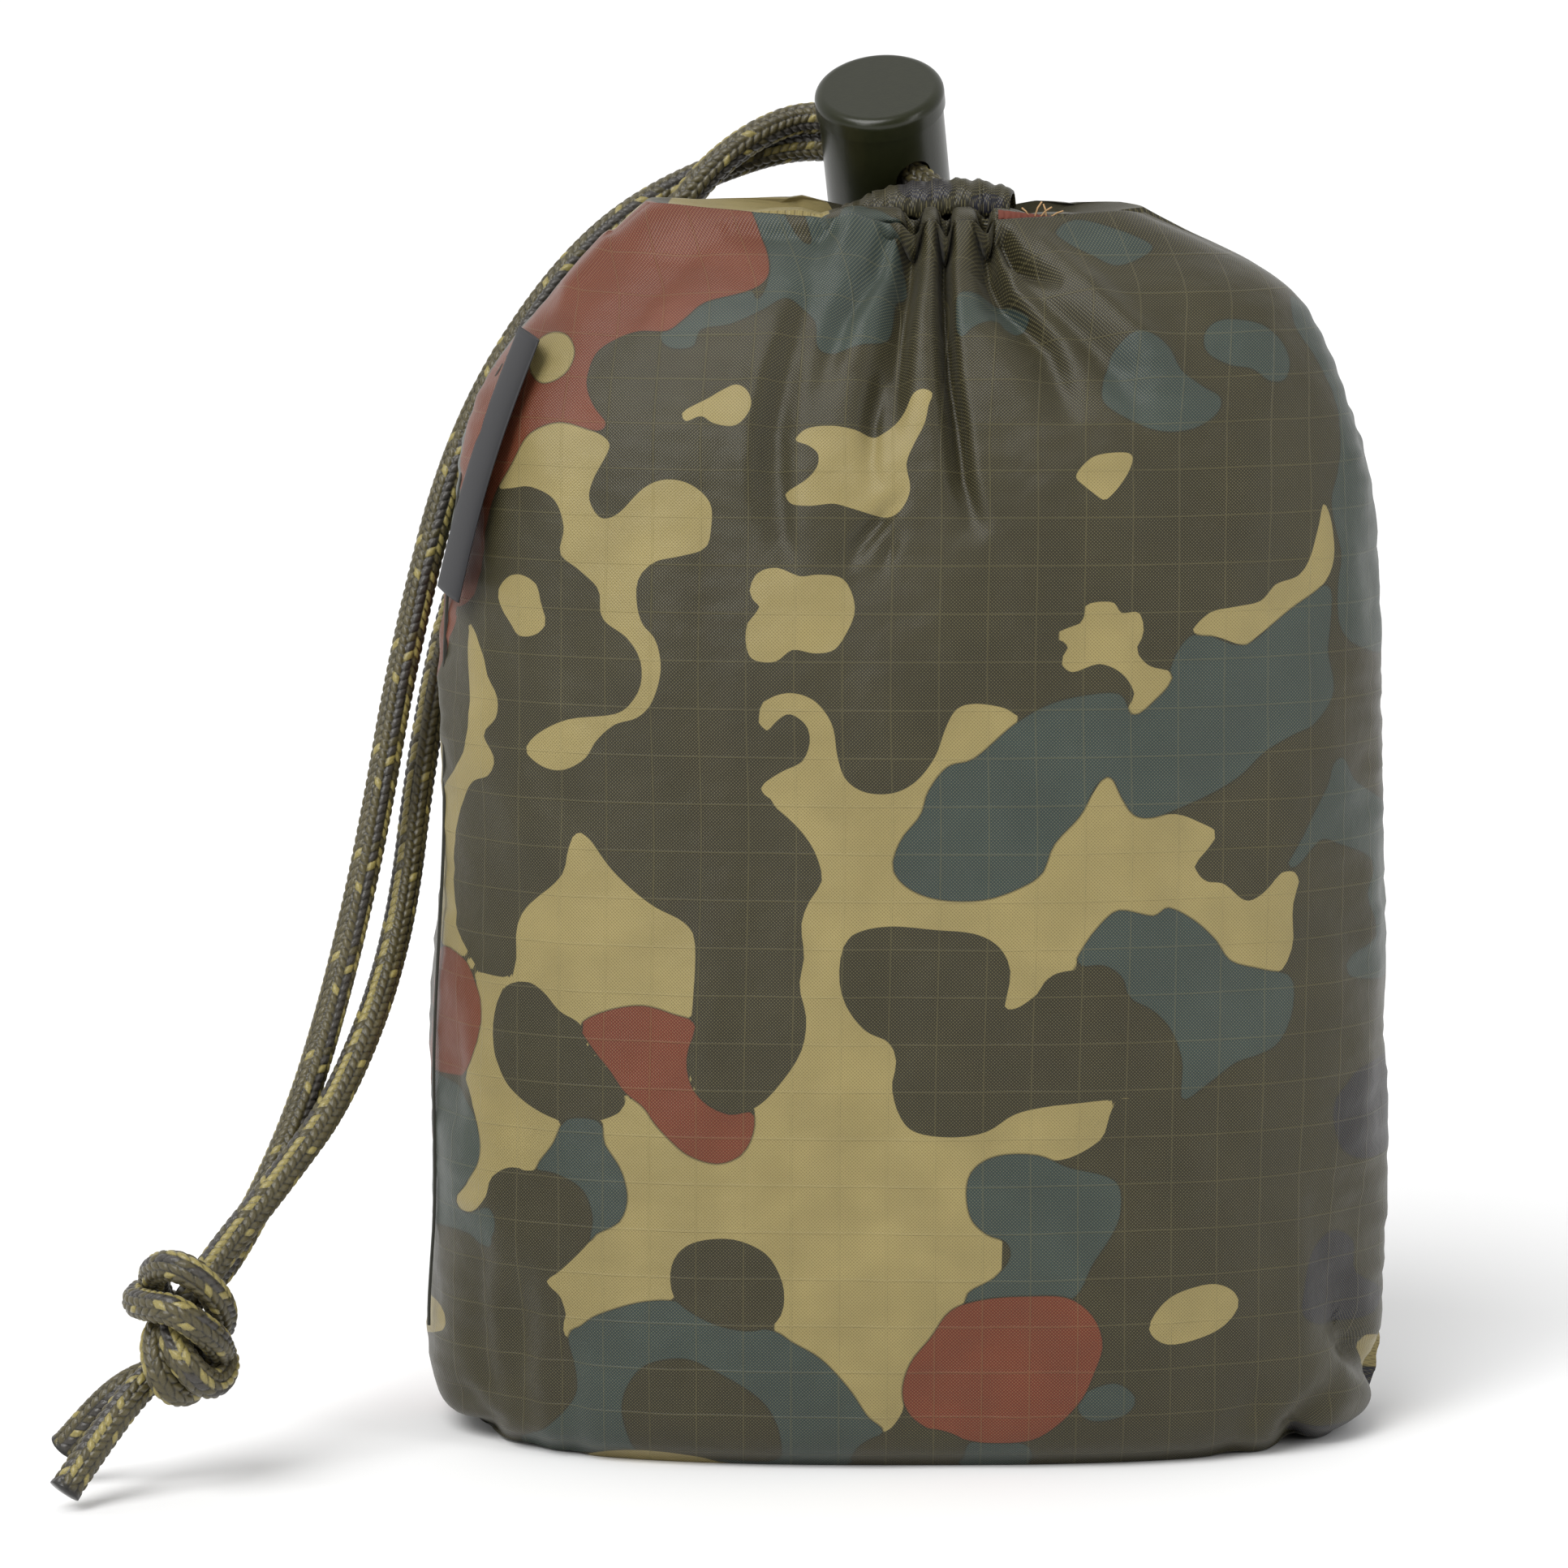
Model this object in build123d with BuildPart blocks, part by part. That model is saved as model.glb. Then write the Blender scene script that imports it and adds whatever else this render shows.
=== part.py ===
from build123d import *
import math
import os

os.makedirs("parts", exist_ok=True)

# ---------------------------------------------------------------------------
# Packed drawstring stuff sack, standing on its base.
# Units are millimetres. +Z is up, the front faces -Y, the origin is the centre
# of the footprint on the floor.
# ---------------------------------------------------------------------------

# sack body
fabric_thickness = 0.7        # shell that stands for the fabric
seam_thickness = 1.2          # folded seam allowance inside the shell
seam_width = 9.0              # both allowances side by side
thread_height = 0.3           # stitches stand this far off the fabric
thread_width = 0.6
running_gap = 0.3             # between soft pieces
section_power = 2.6           # superellipse exponent of the packed sack
seam_angle = 8.0              # side seams are turned this far from the X axis

# z, left edge, right edge, half depth, centre y of each level of the sack
levels = [
    (0.0, -58.0, 58.0, 27.5, 0.0),
    (6.0, -63.4, 63.4, 32.0, 0.0),
    (28.0, -64.0, 64.0, 34.0, 0.0),
    (50.0, -63.8, 63.9, 34.0, 0.0),
    (82.0, -62.2, 63.5, 33.5, 0.0),
    (103.0, -62.0, 62.7, 32.5, -0.3),
    (125.0, -60.1, 61.5, 29.0, -1.2),
    (136.0, -57.4, 58.8, 25.5, -2.0),
    (147.0, -51.0, 54.0, 20.0, -3.0),
    (153.0, -46.0, 49.6, 16.0, -3.0),
    (158.0, -41.0, 41.5, 11.5, -2.5),
    (162.0, -34.6, 31.0, 8.0, -2.0),
]

# gathered neck: a stadium-shaped tunnel drawn almost shut
neck_x = 2.0
neck_y = -2.0
neck_straight = 14.4          # distance between the two end radii
neck_radius = 7.0             # outside of the gathered tunnel
neck_mouth_radius = 1.2       # what is left of the opening
casing_bottom = 154.0
casing_top = 163.0
loop_height = 158.5
loop_radius = 4.1             # end radius of the cord path in the tunnel
roll_length = 22.0
roll_depth = 5.0
roll_top = 167.4

# cord
cord_diameter = 4.0
cord_clearance = 0.3

# cord lock
lock_center = Vector(-2.7, 15.1, 167.9)
lock_axis = Vector(-0.0925, -0.5125, 0.8537)
hole_dir = Vector(-0.4702, 0.7782, 0.4163)
barrel_radius = 8.3
barrel_bottom = -9.0
lip_radius = 8.65
lip_bottom = 9.3
lip_top = 12.4
bore_radius = 6.6
bore_end = 11.5
cord_hole_width = 5.2
cord_hole_height = 9.7
plunger_radius = 6.53
plunger_top = 5.6
plunger_travel = 3.0
flange_radius = 8.0
flange_gap = 0.2
flange_thickness = 2.2
spring_radius = 4.9
spring_wire = 0.7
spring_turns = 3

lock_plane = Plane(origin=lock_center, x_dir=hole_dir, z_dir=lock_axis)

# drawstring strands: corner points of the straight runs, joined by arcs
outer_points = [
    (12.0, 2.6, 156.0),
    (2.4, 8.2, 161.8),
    (-9.3, 27.5, 172.1),
    (-33.0, 23.5, 164.5),
    (-47.0, 15.0, 153.0),
    (-60.0, 9.0, 132.0),
    (-67.0, 2.0, 104.0),
    (-71.0, -5.0, 80.0),
    (-75.5, -12.0, 60.0),
    (-80.5, -22.5, 43.5),
    (-88.0, -34.0, 29.0),
]
inner_points = [
    (11.5, 0.0, 159.5),
    (2.0, 6.0, 165.4),
    (-9.7, 25.3, 175.7),
    (-24.5, 20.5, 170.0),
    (-36.0, 17.5, 154.5),
    (-49.0, 19.0, 134.0),
    (-60.5, 16.0, 112.0),
    (-65.0, 7.0, 90.0),
    (-67.5, -5.5, 66.0),
    (-74.0, -21.5, 48.5),
    (-82.0, -31.0, 38.5),
    (-89.5, -38.5, 30.0),
]
lock_bend_radius = 7.5        # the cord turns sharply where it leaves the lock
tail_front_points = [(-95.5, -43.5, 17.0), (-102.0, -49.5, 9.5), (-107.5, -53.0, 3.0)]
tail_back_points = [(-95.5, -41.0, 17.5), (-102.5, -42.0, 11.0), (-109.0, -39.5, 5.0)]
tip_radius = 2.2
tip_length = 1.2

# overhand knot tied in both strands
knot_top = Vector(-90.0, -38.5, 27.5)
knot_bottom = Vector(-97.0, -44.5, 16.0)
knot_radius = 6.3

# woven label, folded and caught in the left side seam
label_top = Vector(-50.6, -6.0, 147.0)
label_bottom = Vector(-59.4, -14.0, 112.4)
label_depth = 9.0
label_thickness = 1.0
label_slot = 0.3


def section_points(left, right, half_depth, center_y, inset):
    half_width = (right - left) / 2 - inset
    depth = half_depth - inset
    center_x = (left + right) / 2
    points = []
    for step in range(24):
        angle = 2 * math.pi * step / 24
        cosine = math.cos(angle)
        sine = math.sin(angle)
        x = half_width * math.copysign(abs(cosine) ** (2 / section_power), cosine)
        y = depth * math.copysign(abs(sine) ** (2 / section_power), sine)
        points.append((center_x + x, center_y + y))
    return points


def corner_radii(points, first_radii=()):
    radii = []
    for index in range(1, len(points) - 1):
        before = Vector(*points[index]) - Vector(*points[index - 1])
        after = Vector(*points[index + 1]) - Vector(*points[index])
        turn = math.radians(before.get_angle(after))
        shorter = min(before.length, after.length)
        radii.append(0.45 * shorter / math.tan(turn / 2))
    for index, value in first_radii:
        radii[index] = min(value, radii[index])
    return radii


# --- forms the sack pieces are cut from --------------------------------------

with BuildPart() as outer_form:
    for z, left, right, half_depth, center_y in levels:
        with BuildSketch(Plane.XY.offset(z)):
            with BuildLine():
                Spline(*section_points(left, right, half_depth, center_y, 0), periodic=True)
            make_face()
    loft()

with BuildPart() as thread_form:
    for z, left, right, half_depth, center_y in levels:
        with BuildSketch(Plane.XY.offset(z)):
            with BuildLine():
                Spline(*section_points(left, right, half_depth, center_y, -thread_height), periodic=True)
            make_face()
    loft()

with BuildPart() as inner_form:
    for z, left, right, half_depth, center_y in levels:
        height = fabric_thickness + z * (levels[-1][0] - 2 * fabric_thickness) / levels[-1][0]
        with BuildSketch(Plane.XY.offset(height)):
            with BuildLine():
                Spline(*section_points(left, right, half_depth, center_y, fabric_thickness), periodic=True)
            make_face()
    loft()

filling_inset = fabric_thickness + seam_thickness + running_gap
with BuildPart() as filling_form:
    for z, left, right, half_depth, center_y in levels:
        height = filling_inset + z * (levels[-1][0] - 2 * filling_inset) / levels[-1][0]
        with BuildSketch(Plane.XY.offset(height)):
            with BuildLine():
                Spline(*section_points(left, right, half_depth, center_y, filling_inset), periodic=True)
            make_face()
    loft()

with BuildPart() as neck_pocket:
    with BuildSketch(Plane.XY.offset(casing_bottom - running_gap)):
        with Locations((neck_x, neck_y)):
            SlotCenterToCenter(neck_straight, 2 * (neck_radius + 0.2))
    extrude(amount=20)

# --- drawstring strands --------------------------------------------------------

outer_radii = corner_radii(outer_points, [(1, lock_bend_radius)])
inner_radii = corner_radii(inner_points, [(1, lock_bend_radius)])
print("outer strand radii", [round(r, 1) for r in outer_radii])
print("inner strand radii", [round(r, 1) for r in inner_radii])

with BuildLine() as outer_path:
    FilletPolyline(*outer_points, radius=outer_radii)
with BuildLine() as inner_path:
    FilletPolyline(*inner_points, radius=inner_radii)
print("strand lengths", round(outer_path.wire().length, 1), round(inner_path.wire().length, 1))

with BuildPart() as knot_form:
    with BuildSketch(Plane(origin=knot_top, z_dir=knot_bottom - knot_top)):
        Circle(knot_radius)
    extrude(amount=(knot_bottom - knot_top).length)
    with Locations(knot_top, knot_bottom):
        Sphere(knot_radius)

with BuildPart() as strand_outer:
    with BuildSketch(Plane(origin=outer_path.wire() @ 0, z_dir=outer_path.wire() % 0)):
        Circle(cord_diameter / 2)
    sweep(path=outer_path.wire())
    add(knot_form.part, mode=Mode.SUBTRACT)
strand_outer.part.label = "strand_outer"

with BuildPart() as strand_inner:
    with BuildSketch(Plane(origin=inner_path.wire() @ 0, z_dir=inner_path.wire() % 0)):
        Circle(cord_diameter / 2)
    sweep(path=inner_path.wire())
    add(knot_form.part, mode=Mode.SUBTRACT)
strand_inner.part.label = "strand_inner"

with BuildPart() as strand_room:
    for path in (outer_path.wire(), inner_path.wire()):
        with BuildSketch(Plane(origin=path @ 0, z_dir=path % 0)):
            Circle(cord_diameter / 2 + cord_clearance)
        sweep(path=path)
    for start, direction in (
        (outer_path.wire() @ 0, outer_path.wire() % 0),
        (inner_path.wire() @ 0, inner_path.wire() % 0),
    ):
        with BuildSketch(Plane(origin=start, z_dir=direction * -1)):
            Circle(cord_diameter / 2 + cord_clearance)
        extrude(amount=cord_clearance)

with BuildPart() as stopper_knot:
    add(knot_form.part)
stopper_knot.part.label = "stopper_knot"


def tail_path(points):
    with BuildLine() as path:
        FilletPolyline(*points, radius=corner_radii(points))
    return path.wire()


front_tail_wire = tail_path(tail_front_points)
back_tail_wire = tail_path(tail_back_points)

with BuildPart() as tail_front:
    with BuildSketch(Plane(origin=front_tail_wire @ 0, z_dir=front_tail_wire % 0)):
        Circle(cord_diameter / 2)
    sweep(path=front_tail_wire)
    add(knot_form.part, mode=Mode.SUBTRACT)
tail_front.part.label = "tail_front"

with BuildPart() as tail_back:
    with BuildSketch(Plane(origin=back_tail_wire @ 0, z_dir=back_tail_wire % 0)):
        Circle(cord_diameter / 2)
    sweep(path=back_tail_wire)
    add(knot_form.part, mode=Mode.SUBTRACT)
    add(tail_front.part, mode=Mode.SUBTRACT)
tail_back.part.label = "tail_back"

with BuildPart() as tip_front:
    with BuildSketch(Plane(origin=front_tail_wire @ 1, z_dir=front_tail_wire % 1)):
        Circle(tip_radius)
    extrude(amount=tip_length)
    fillet(tip_front.edges().filter_by(GeomType.CIRCLE).sort_by(Axis.Z)[0], 0.5)
tip_front.part.label = "tip_front"

with BuildPart() as tip_back:
    with BuildSketch(Plane(origin=back_tail_wire @ 1, z_dir=back_tail_wire % 1)):
        Circle(tip_radius)
    extrude(amount=tip_length)
    fillet(tip_back.edges().filter_by(GeomType.CIRCLE).sort_by(Axis.Z)[0], 0.5)
tip_back.part.label = "tip_back"

# --- fabric panels and seams -----------------------------------------------------

seam_dir = Vector(math.cos(math.radians(seam_angle)), math.sin(math.radians(seam_angle)), 0)
front_normal = Vector(math.sin(math.radians(seam_angle)), -math.cos(math.radians(seam_angle)), 0)
seam_plane = Plane(origin=(0, 0, 0), x_dir=seam_dir, z_dir=front_normal)

with BuildPart() as front_panel:
    add(outer_form.part)
    add(inner_form.part, mode=Mode.SUBTRACT)
    add(neck_pocket.part, mode=Mode.SUBTRACT)
    split(bisect_by=seam_plane, keep=Keep.TOP)
    add(strand_room.part, mode=Mode.SUBTRACT)
front_panel.part.label = "front_panel"

with BuildPart() as back_panel:
    add(outer_form.part)
    add(inner_form.part, mode=Mode.SUBTRACT)
    add(neck_pocket.part, mode=Mode.SUBTRACT)
    split(bisect_by=seam_plane, keep=Keep.BOTTOM)
    add(strand_room.part, mode=Mode.SUBTRACT)
back_panel.part.label = "back_panel"

with BuildPart() as packed_filling:
    add(filling_form.part)
    add(neck_pocket.part, mode=Mode.SUBTRACT)
    add(strand_room.part, mode=Mode.SUBTRACT)
packed_filling.part.label = "packed_filling"

with BuildPart() as seam_core:
    for z, left, right, half_depth, center_y in levels:
        inset = fabric_thickness + seam_thickness
        height = inset + z * (levels[-1][0] - 2 * inset) / levels[-1][0]
        with BuildSketch(Plane.XY.offset(height)):
            with BuildLine():
                Spline(*section_points(left, right, half_depth, center_y, inset), periodic=True)
            make_face()
    loft()

left_zone = Plane(origin=seam_dir * -50 + Vector(0, 0, 80), x_dir=seam_dir, z_dir=(0, 0, 1))
right_zone = Plane(origin=seam_dir * 50 + Vector(0, 0, 80), x_dir=seam_dir, z_dir=(0, 0, 1))

with BuildPart() as side_seam_left:
    with Locations(left_zone):
        Box(60, seam_width, 130)
    add(inner_form.part, mode=Mode.INTERSECT)
    add(seam_core.part, mode=Mode.SUBTRACT)
side_seam_left.part.label = "side_seam_left"

with BuildPart() as side_seam_right:
    with Locations(right_zone):
        Box(60, seam_width, 130)
    add(inner_form.part, mode=Mode.INTERSECT)
    add(seam_core.part, mode=Mode.SUBTRACT)
side_seam_right.part.label = "side_seam_right"

with BuildPart() as stitching_left:
    with Locations(left_zone.offset(0)):
        with Locations((0, -1.5, 0)):
            Box(60, thread_width, 130)
    add(thread_form.part, mode=Mode.INTERSECT)
    add(outer_form.part, mode=Mode.SUBTRACT)
stitching_left.part.label = "stitching_left"

with BuildPart() as stitching_right:
    with Locations(right_zone.offset(0)):
        with Locations((0, 1.5, 0)):
            Box(60, thread_width, 130)
    add(thread_form.part, mode=Mode.INTERSECT)
    add(outer_form.part, mode=Mode.SUBTRACT)
stitching_right.part.label = "stitching_right"

# --- gathered drawstring tunnel ---------------------------------------------------

with BuildPart() as tunnel_form:
    with BuildSketch(Plane.XY.offset(casing_bottom)):
        with Locations((neck_x, neck_y)):
            SlotCenterToCenter(neck_straight, 2 * neck_radius)
            SlotCenterToCenter(neck_straight, 2 * neck_mouth_radius, mode=Mode.SUBTRACT)
    extrude(amount=casing_top - casing_bottom)
    fillet(tunnel_form.faces().sort_by(Axis.Z)[-1].outer_wire().edges(), 2.0)

with BuildLine(Plane.XY.offset(loop_height)) as loop_path:
    half = neck_straight / 2
    back_y = neck_y + loop_radius
    front_y = neck_y - loop_radius
    Line((neck_x + half - 10, back_y), (neck_x - half, back_y))
    Line((neck_x - half, front_y), (neck_x + half, front_y))
    ThreePointArc(
        (neck_x - half, back_y),
        (neck_x - half - loop_radius, neck_y),
        (neck_x - half, front_y),
    )
    ThreePointArc(
        (neck_x + half, front_y),
        (neck_x + half + loop_radius, neck_y),
        (neck_x + half, back_y),
    )

with BuildPart() as drawstring_loop:
    with BuildSketch(Plane.YZ.offset(neck_x + half - 10)):
        with Locations((back_y, loop_height)):
            Circle(cord_diameter / 2)
    sweep(path=loop_path.wire())
    add(strand_outer.part, mode=Mode.SUBTRACT)
    add(strand_inner.part, mode=Mode.SUBTRACT)
drawstring_loop.part.label = "drawstring_loop"

with BuildPart() as tunnel_bore:
    with BuildSketch(Plane.YZ.offset(neck_x + half - 10)):
        with Locations((back_y, loop_height)):
            Circle(cord_diameter / 2 + 0.1)
    sweep(path=loop_path.wire())

with BuildPart() as casing_front:
    add(tunnel_form.part)
    add(tunnel_bore.part, mode=Mode.SUBTRACT)
    split(bisect_by=Plane(origin=(0, neck_y, 0), z_dir=(0, -1, 0)), keep=Keep.TOP)
    add(strand_room.part, mode=Mode.SUBTRACT)
casing_front.part.label = "casing_front"

with BuildPart() as casing_back:
    add(tunnel_form.part)
    add(tunnel_bore.part, mode=Mode.SUBTRACT)
    split(bisect_by=Plane(origin=(0, neck_y, 0), z_dir=(0, -1, 0)), keep=Keep.BOTTOM)
    add(strand_room.part, mode=Mode.SUBTRACT)
casing_back.part.label = "casing_back"

with BuildPart() as casing_roll:
    with BuildSketch(Plane.XY.offset(casing_top)):
        with Locations((neck_x - 1, neck_y + 3.2)):
            RectangleRounded(roll_length, roll_depth, 2.0)
    extrude(amount=roll_top - casing_top)
    fillet(casing_roll.faces().sort_by(Axis.Z)[-1].outer_wire().edges(), 1.6)
    add(strand_room.part, mode=Mode.SUBTRACT)
casing_roll.part.label = "casing_roll"

with BuildPart() as hem_fold:
    with BuildSketch(Plane.XY.offset(casing_top)):
        with Locations((neck_x - 1 + roll_length / 2 + 1.1, neck_y + 3.2)):
            RectangleRounded(1.6, 4.6, 0.7)
    extrude(amount=3.4)
    add(strand_room.part, mode=Mode.SUBTRACT)
hem_fold.part.label = "hem_fold"

with BuildPart() as frayed_allowance:
    with BuildSketch(Plane.XY.offset(levels[-1][0] + 0.05)):
        with Locations((neck_x + 18.5, neck_y)):
            RectangleRounded(7.0, 2.4, 0.9)
    extrude(amount=1.2)
frayed_allowance.part.label = "frayed_allowance"

# --- folded woven label -------------------------------------------------------------

label_along = (label_bottom - label_top).normalized()
label_out = Vector(-0.24, -0.927, 0.29)
label_out = (label_out - label_along * label_out.dot(label_along)).normalized()
label_length = (label_bottom - label_top).length
label_mid = (label_top + label_bottom) * 0.5 + label_out * (label_depth / 2 - 1.5)
label_plane = Plane(origin=label_mid, x_dir=label_along, z_dir=label_along.cross(label_out))

with BuildPart() as woven_label:
    with BuildSketch(label_plane):
        Rectangle(label_length, label_depth)
    extrude(amount=label_thickness / 2, both=True)
    with BuildSketch(label_plane):
        with Locations((0, -label_thickness)):
            Rectangle(label_length + 2, label_depth)
    extrude(amount=label_slot / 2, both=True, mode=Mode.SUBTRACT)
    add(thread_form.part, mode=Mode.SUBTRACT)
woven_label.part.label = "woven_label"

# --- cord lock ------------------------------------------------------------------------

with BuildPart() as lock_barrel:
    with BuildSketch(lock_plane.offset(barrel_bottom)):
        Circle(barrel_radius)
    extrude(amount=lip_bottom - barrel_bottom)
    with BuildSketch(lock_plane.offset(lip_bottom)):
        Circle(lip_radius)
    extrude(amount=lip_top - lip_bottom)
    rim_edges = lock_barrel.edges().filter_by(GeomType.CIRCLE).group_by(Axis((0, 0, 0), lock_axis))[-1]
    fillet(rim_edges, 1.3)
    with BuildSketch(lock_plane.offset(barrel_bottom)):
        Circle(bore_radius)
    extrude(amount=bore_end - barrel_bottom, mode=Mode.SUBTRACT)
    with BuildSketch(Plane(origin=lock_center, x_dir=lock_axis, z_dir=hole_dir)):
        SlotOverall(cord_hole_height, cord_hole_width)
    extrude(amount=barrel_radius + 2, both=True, mode=Mode.SUBTRACT)
lock_barrel.part.label = "lock_barrel"

slot_top = cord_hole_height / 2
slot_bottom = -cord_hole_height / 2 - plunger_travel
flange_top = barrel_bottom - flange_gap - plunger_travel

with BuildPart() as lock_plunger:
    with BuildSketch(lock_plane.offset(flange_top)):
        Circle(plunger_radius)
    extrude(amount=plunger_top - flange_top)
    with BuildSketch(lock_plane.offset(flange_top - flange_thickness)):
        Circle(flange_radius)
    extrude(amount=flange_thickness)
    with BuildSketch(Plane(origin=lock_center, x_dir=lock_axis, z_dir=hole_dir)):
        with Locations(((slot_top + slot_bottom) / 2, 0)):
            SlotOverall(slot_top - slot_bottom, cord_hole_width)
    extrude(amount=barrel_radius + 2, both=True, mode=Mode.SUBTRACT)
lock_plunger.part.label = "lock_plunger"

spring_bottom = plunger_top + 0.05 + spring_wire / 2
spring_height = bore_end - 0.05 - spring_wire / 2 - spring_bottom
with BuildPart() as spring_form:
    with BuildLine() as spring_path:
        Helix(pitch=spring_height / spring_turns, height=spring_height, radius=spring_radius)
    with BuildSketch(Plane(origin=spring_path.wire() @ 0, z_dir=spring_path.wire() % 0)):
        Circle(spring_wire / 2)
    sweep(path=spring_path.wire(), is_frenet=True)

with BuildPart() as lock_spring:
    add(spring_form.part.moved(lock_plane.offset(spring_bottom).location))
lock_spring.part.label = "lock_spring"

# clearance cuts leave small offcuts: each piece keeps its main solid
for piece in (
    front_panel, back_panel, packed_filling, side_seam_left, side_seam_right,
    stitching_left, stitching_right, casing_front, casing_back, casing_roll,
    hem_fold, frayed_allowance, woven_label, drawstring_loop, strand_outer,
    strand_inner, stopper_knot, tail_front, tail_back, tip_front, tip_back,
    lock_barrel, lock_plunger, lock_spring,
):
    solid = piece.part.solids().sort_by(SortBy.VOLUME)[-1]
    solid.label = piece.part.label
    export_step(solid, "parts/" + solid.label + ".step")
    print(solid.label, round(solid.volume, 2), len(piece.part.solids()))
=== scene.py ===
import math
import bpy
import numpy as np
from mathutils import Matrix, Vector


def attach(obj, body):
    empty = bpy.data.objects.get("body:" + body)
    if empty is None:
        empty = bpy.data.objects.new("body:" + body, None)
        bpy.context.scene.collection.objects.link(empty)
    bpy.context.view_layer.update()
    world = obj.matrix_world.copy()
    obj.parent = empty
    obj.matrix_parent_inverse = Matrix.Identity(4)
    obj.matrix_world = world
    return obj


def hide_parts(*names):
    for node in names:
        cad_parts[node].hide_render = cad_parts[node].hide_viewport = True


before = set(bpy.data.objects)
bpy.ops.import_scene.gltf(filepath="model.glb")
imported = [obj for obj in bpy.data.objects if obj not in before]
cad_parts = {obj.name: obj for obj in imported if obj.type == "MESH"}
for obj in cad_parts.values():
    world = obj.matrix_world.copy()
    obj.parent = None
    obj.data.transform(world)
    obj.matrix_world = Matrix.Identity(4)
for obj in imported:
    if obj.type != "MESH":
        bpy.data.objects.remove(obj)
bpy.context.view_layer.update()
MM = 0.001

# ---------------------------------------------------------------- camera
CAM_TARGET = Vector((-16.4, 0.0, 86.3)) * MM
CAM_DISTANCE = 0.9
CAM_TILT = math.radians(8.0)
cam_data = bpy.data.cameras.new("camera")
cam_data.sensor_width = 36
cam_data.lens = 155
camera = bpy.data.objects.new("camera", cam_data)
bpy.context.collection.objects.link(camera)
camera.location = CAM_TARGET + CAM_DISTANCE * Vector((0, -math.cos(CAM_TILT), math.sin(CAM_TILT)))
camera.rotation_euler = (math.pi / 2 - CAM_TILT, 0, 0)
bpy.context.scene.camera = camera


def front_view(points):
    """Picture-plane position, in mm, of points given in mm."""
    rel = points - np.array([-16.4, 0.0, 86.3])
    up = math.sin(CAM_TILT) * rel[:, 1] + math.cos(CAM_TILT) * rel[:, 2]
    depth = 900 + math.cos(CAM_TILT) * rel[:, 1] - math.sin(CAM_TILT) * rel[:, 2]
    return np.stack([-16.4 + rel[:, 0] * 900 / depth, 86.3 + up * 900 / depth], axis=1)


# ---------------------------------------------------------------- node helpers
class Nodes:
    """Small helper that adds and links shader nodes."""

    def __init__(self, name):
        self.mat = bpy.data.materials.new(name)
        self.mat.use_nodes = True
        self.tree = self.mat.node_tree
        self.bsdf = self.tree.nodes["Principled BSDF"]

    def add(self, kind, **inputs):
        node = self.tree.nodes.new(kind)
        for key, value in inputs.items():
            self.put(node.inputs[key], value)
        return node

    def put(self, socket, value):
        if isinstance(value, bpy.types.NodeSocket):
            self.tree.links.new(value, socket)
        else:
            socket.default_value = value

    def math(self, op, a, b=0.0, c=0.0):
        node = self.tree.nodes.new("ShaderNodeMath")
        node.operation = op
        for socket, value in zip(node.inputs, (a, b, c)):
            self.put(socket, value)
        return node.outputs[0]

    def step(self, value, low, high):
        node = self.tree.nodes.new("ShaderNodeMapRange")
        node.interpolation_type = "SMOOTHSTEP"
        self.put(node.inputs["Value"], value)
        node.inputs["From Min"].default_value = low
        node.inputs["From Max"].default_value = high
        return node.outputs[0]

    def mix(self, factor, a, b, mode="MIX"):
        node = self.tree.nodes.new("ShaderNodeMix")
        node.data_type = "RGBA"
        node.blend_type = mode
        self.put(node.inputs[0], factor)
        self.put(node.inputs[6], a)
        self.put(node.inputs[7], b)
        return node.outputs[2]

    def noise(self, scale, detail=2.0, vector=None):
        node = self.tree.nodes.new("ShaderNodeTexNoise")
        node.inputs["Scale"].default_value = scale
        node.inputs["Detail"].default_value = detail
        if vector is None:
            vector = self.tree.nodes.new("ShaderNodeTexCoord").outputs["Object"]
        self.put(node.inputs["Vector"], vector)
        return node.outputs[0]

    def bump(self, height, distance, strength=1.0, normal=None):
        node = self.tree.nodes.new("ShaderNodeBump")
        node.inputs["Strength"].default_value = strength
        node.inputs["Distance"].default_value = distance
        self.put(node.inputs["Height"], height)
        if normal is not None:
            self.put(node.inputs["Normal"], normal)
        return node.outputs[0]


def srgb(r, g, b):
    return tuple(((c / 255 + 0.055) / 1.055) ** 2.4 for c in (r, g, b)) + (1.0,)


def new_piece(name, verts_mm, faces, body="sack", smooth=True):
    mesh = bpy.data.meshes.new(name)
    mesh.from_pydata((np.asarray(verts_mm, dtype=float) * MM).tolist(), [], faces)
    mesh.update()
    if smooth:
        mesh.polygons.foreach_set("use_smooth", [True] * len(mesh.polygons))
    obj = bpy.data.objects.new(name, mesh)
    bpy.context.collection.objects.link(obj)
    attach(obj, body)
    return obj


def grid_faces(rows, cols, wrap=True):
    r = np.arange(rows - 1)[:, None]
    c = np.arange(cols if wrap else cols - 1)[None, :]
    n = (c + 1) % cols
    a = r * cols + c
    b = r * cols + n
    d = (r + 1) * cols + c
    e = (r + 1) * cols + n
    return np.stack([a, b, e, d], axis=-1).reshape(-1, 4)


def waves(x, y, length, seed, count=14):
    """Smooth repeatable noise of about the given wavelength, from -1 to 1."""
    rng = np.random.RandomState(seed)
    total = np.zeros_like(x)
    for _ in range(count):
        angle = rng.uniform(0, 2 * math.pi)
        size = length * rng.uniform(0.7, 1.5)
        phase = rng.uniform(0, 2 * math.pi)
        total += np.sin(2 * math.pi * (x * math.cos(angle) + y * math.sin(angle)) / size + phase)
    return total / math.sqrt(count) / 1.6


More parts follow.
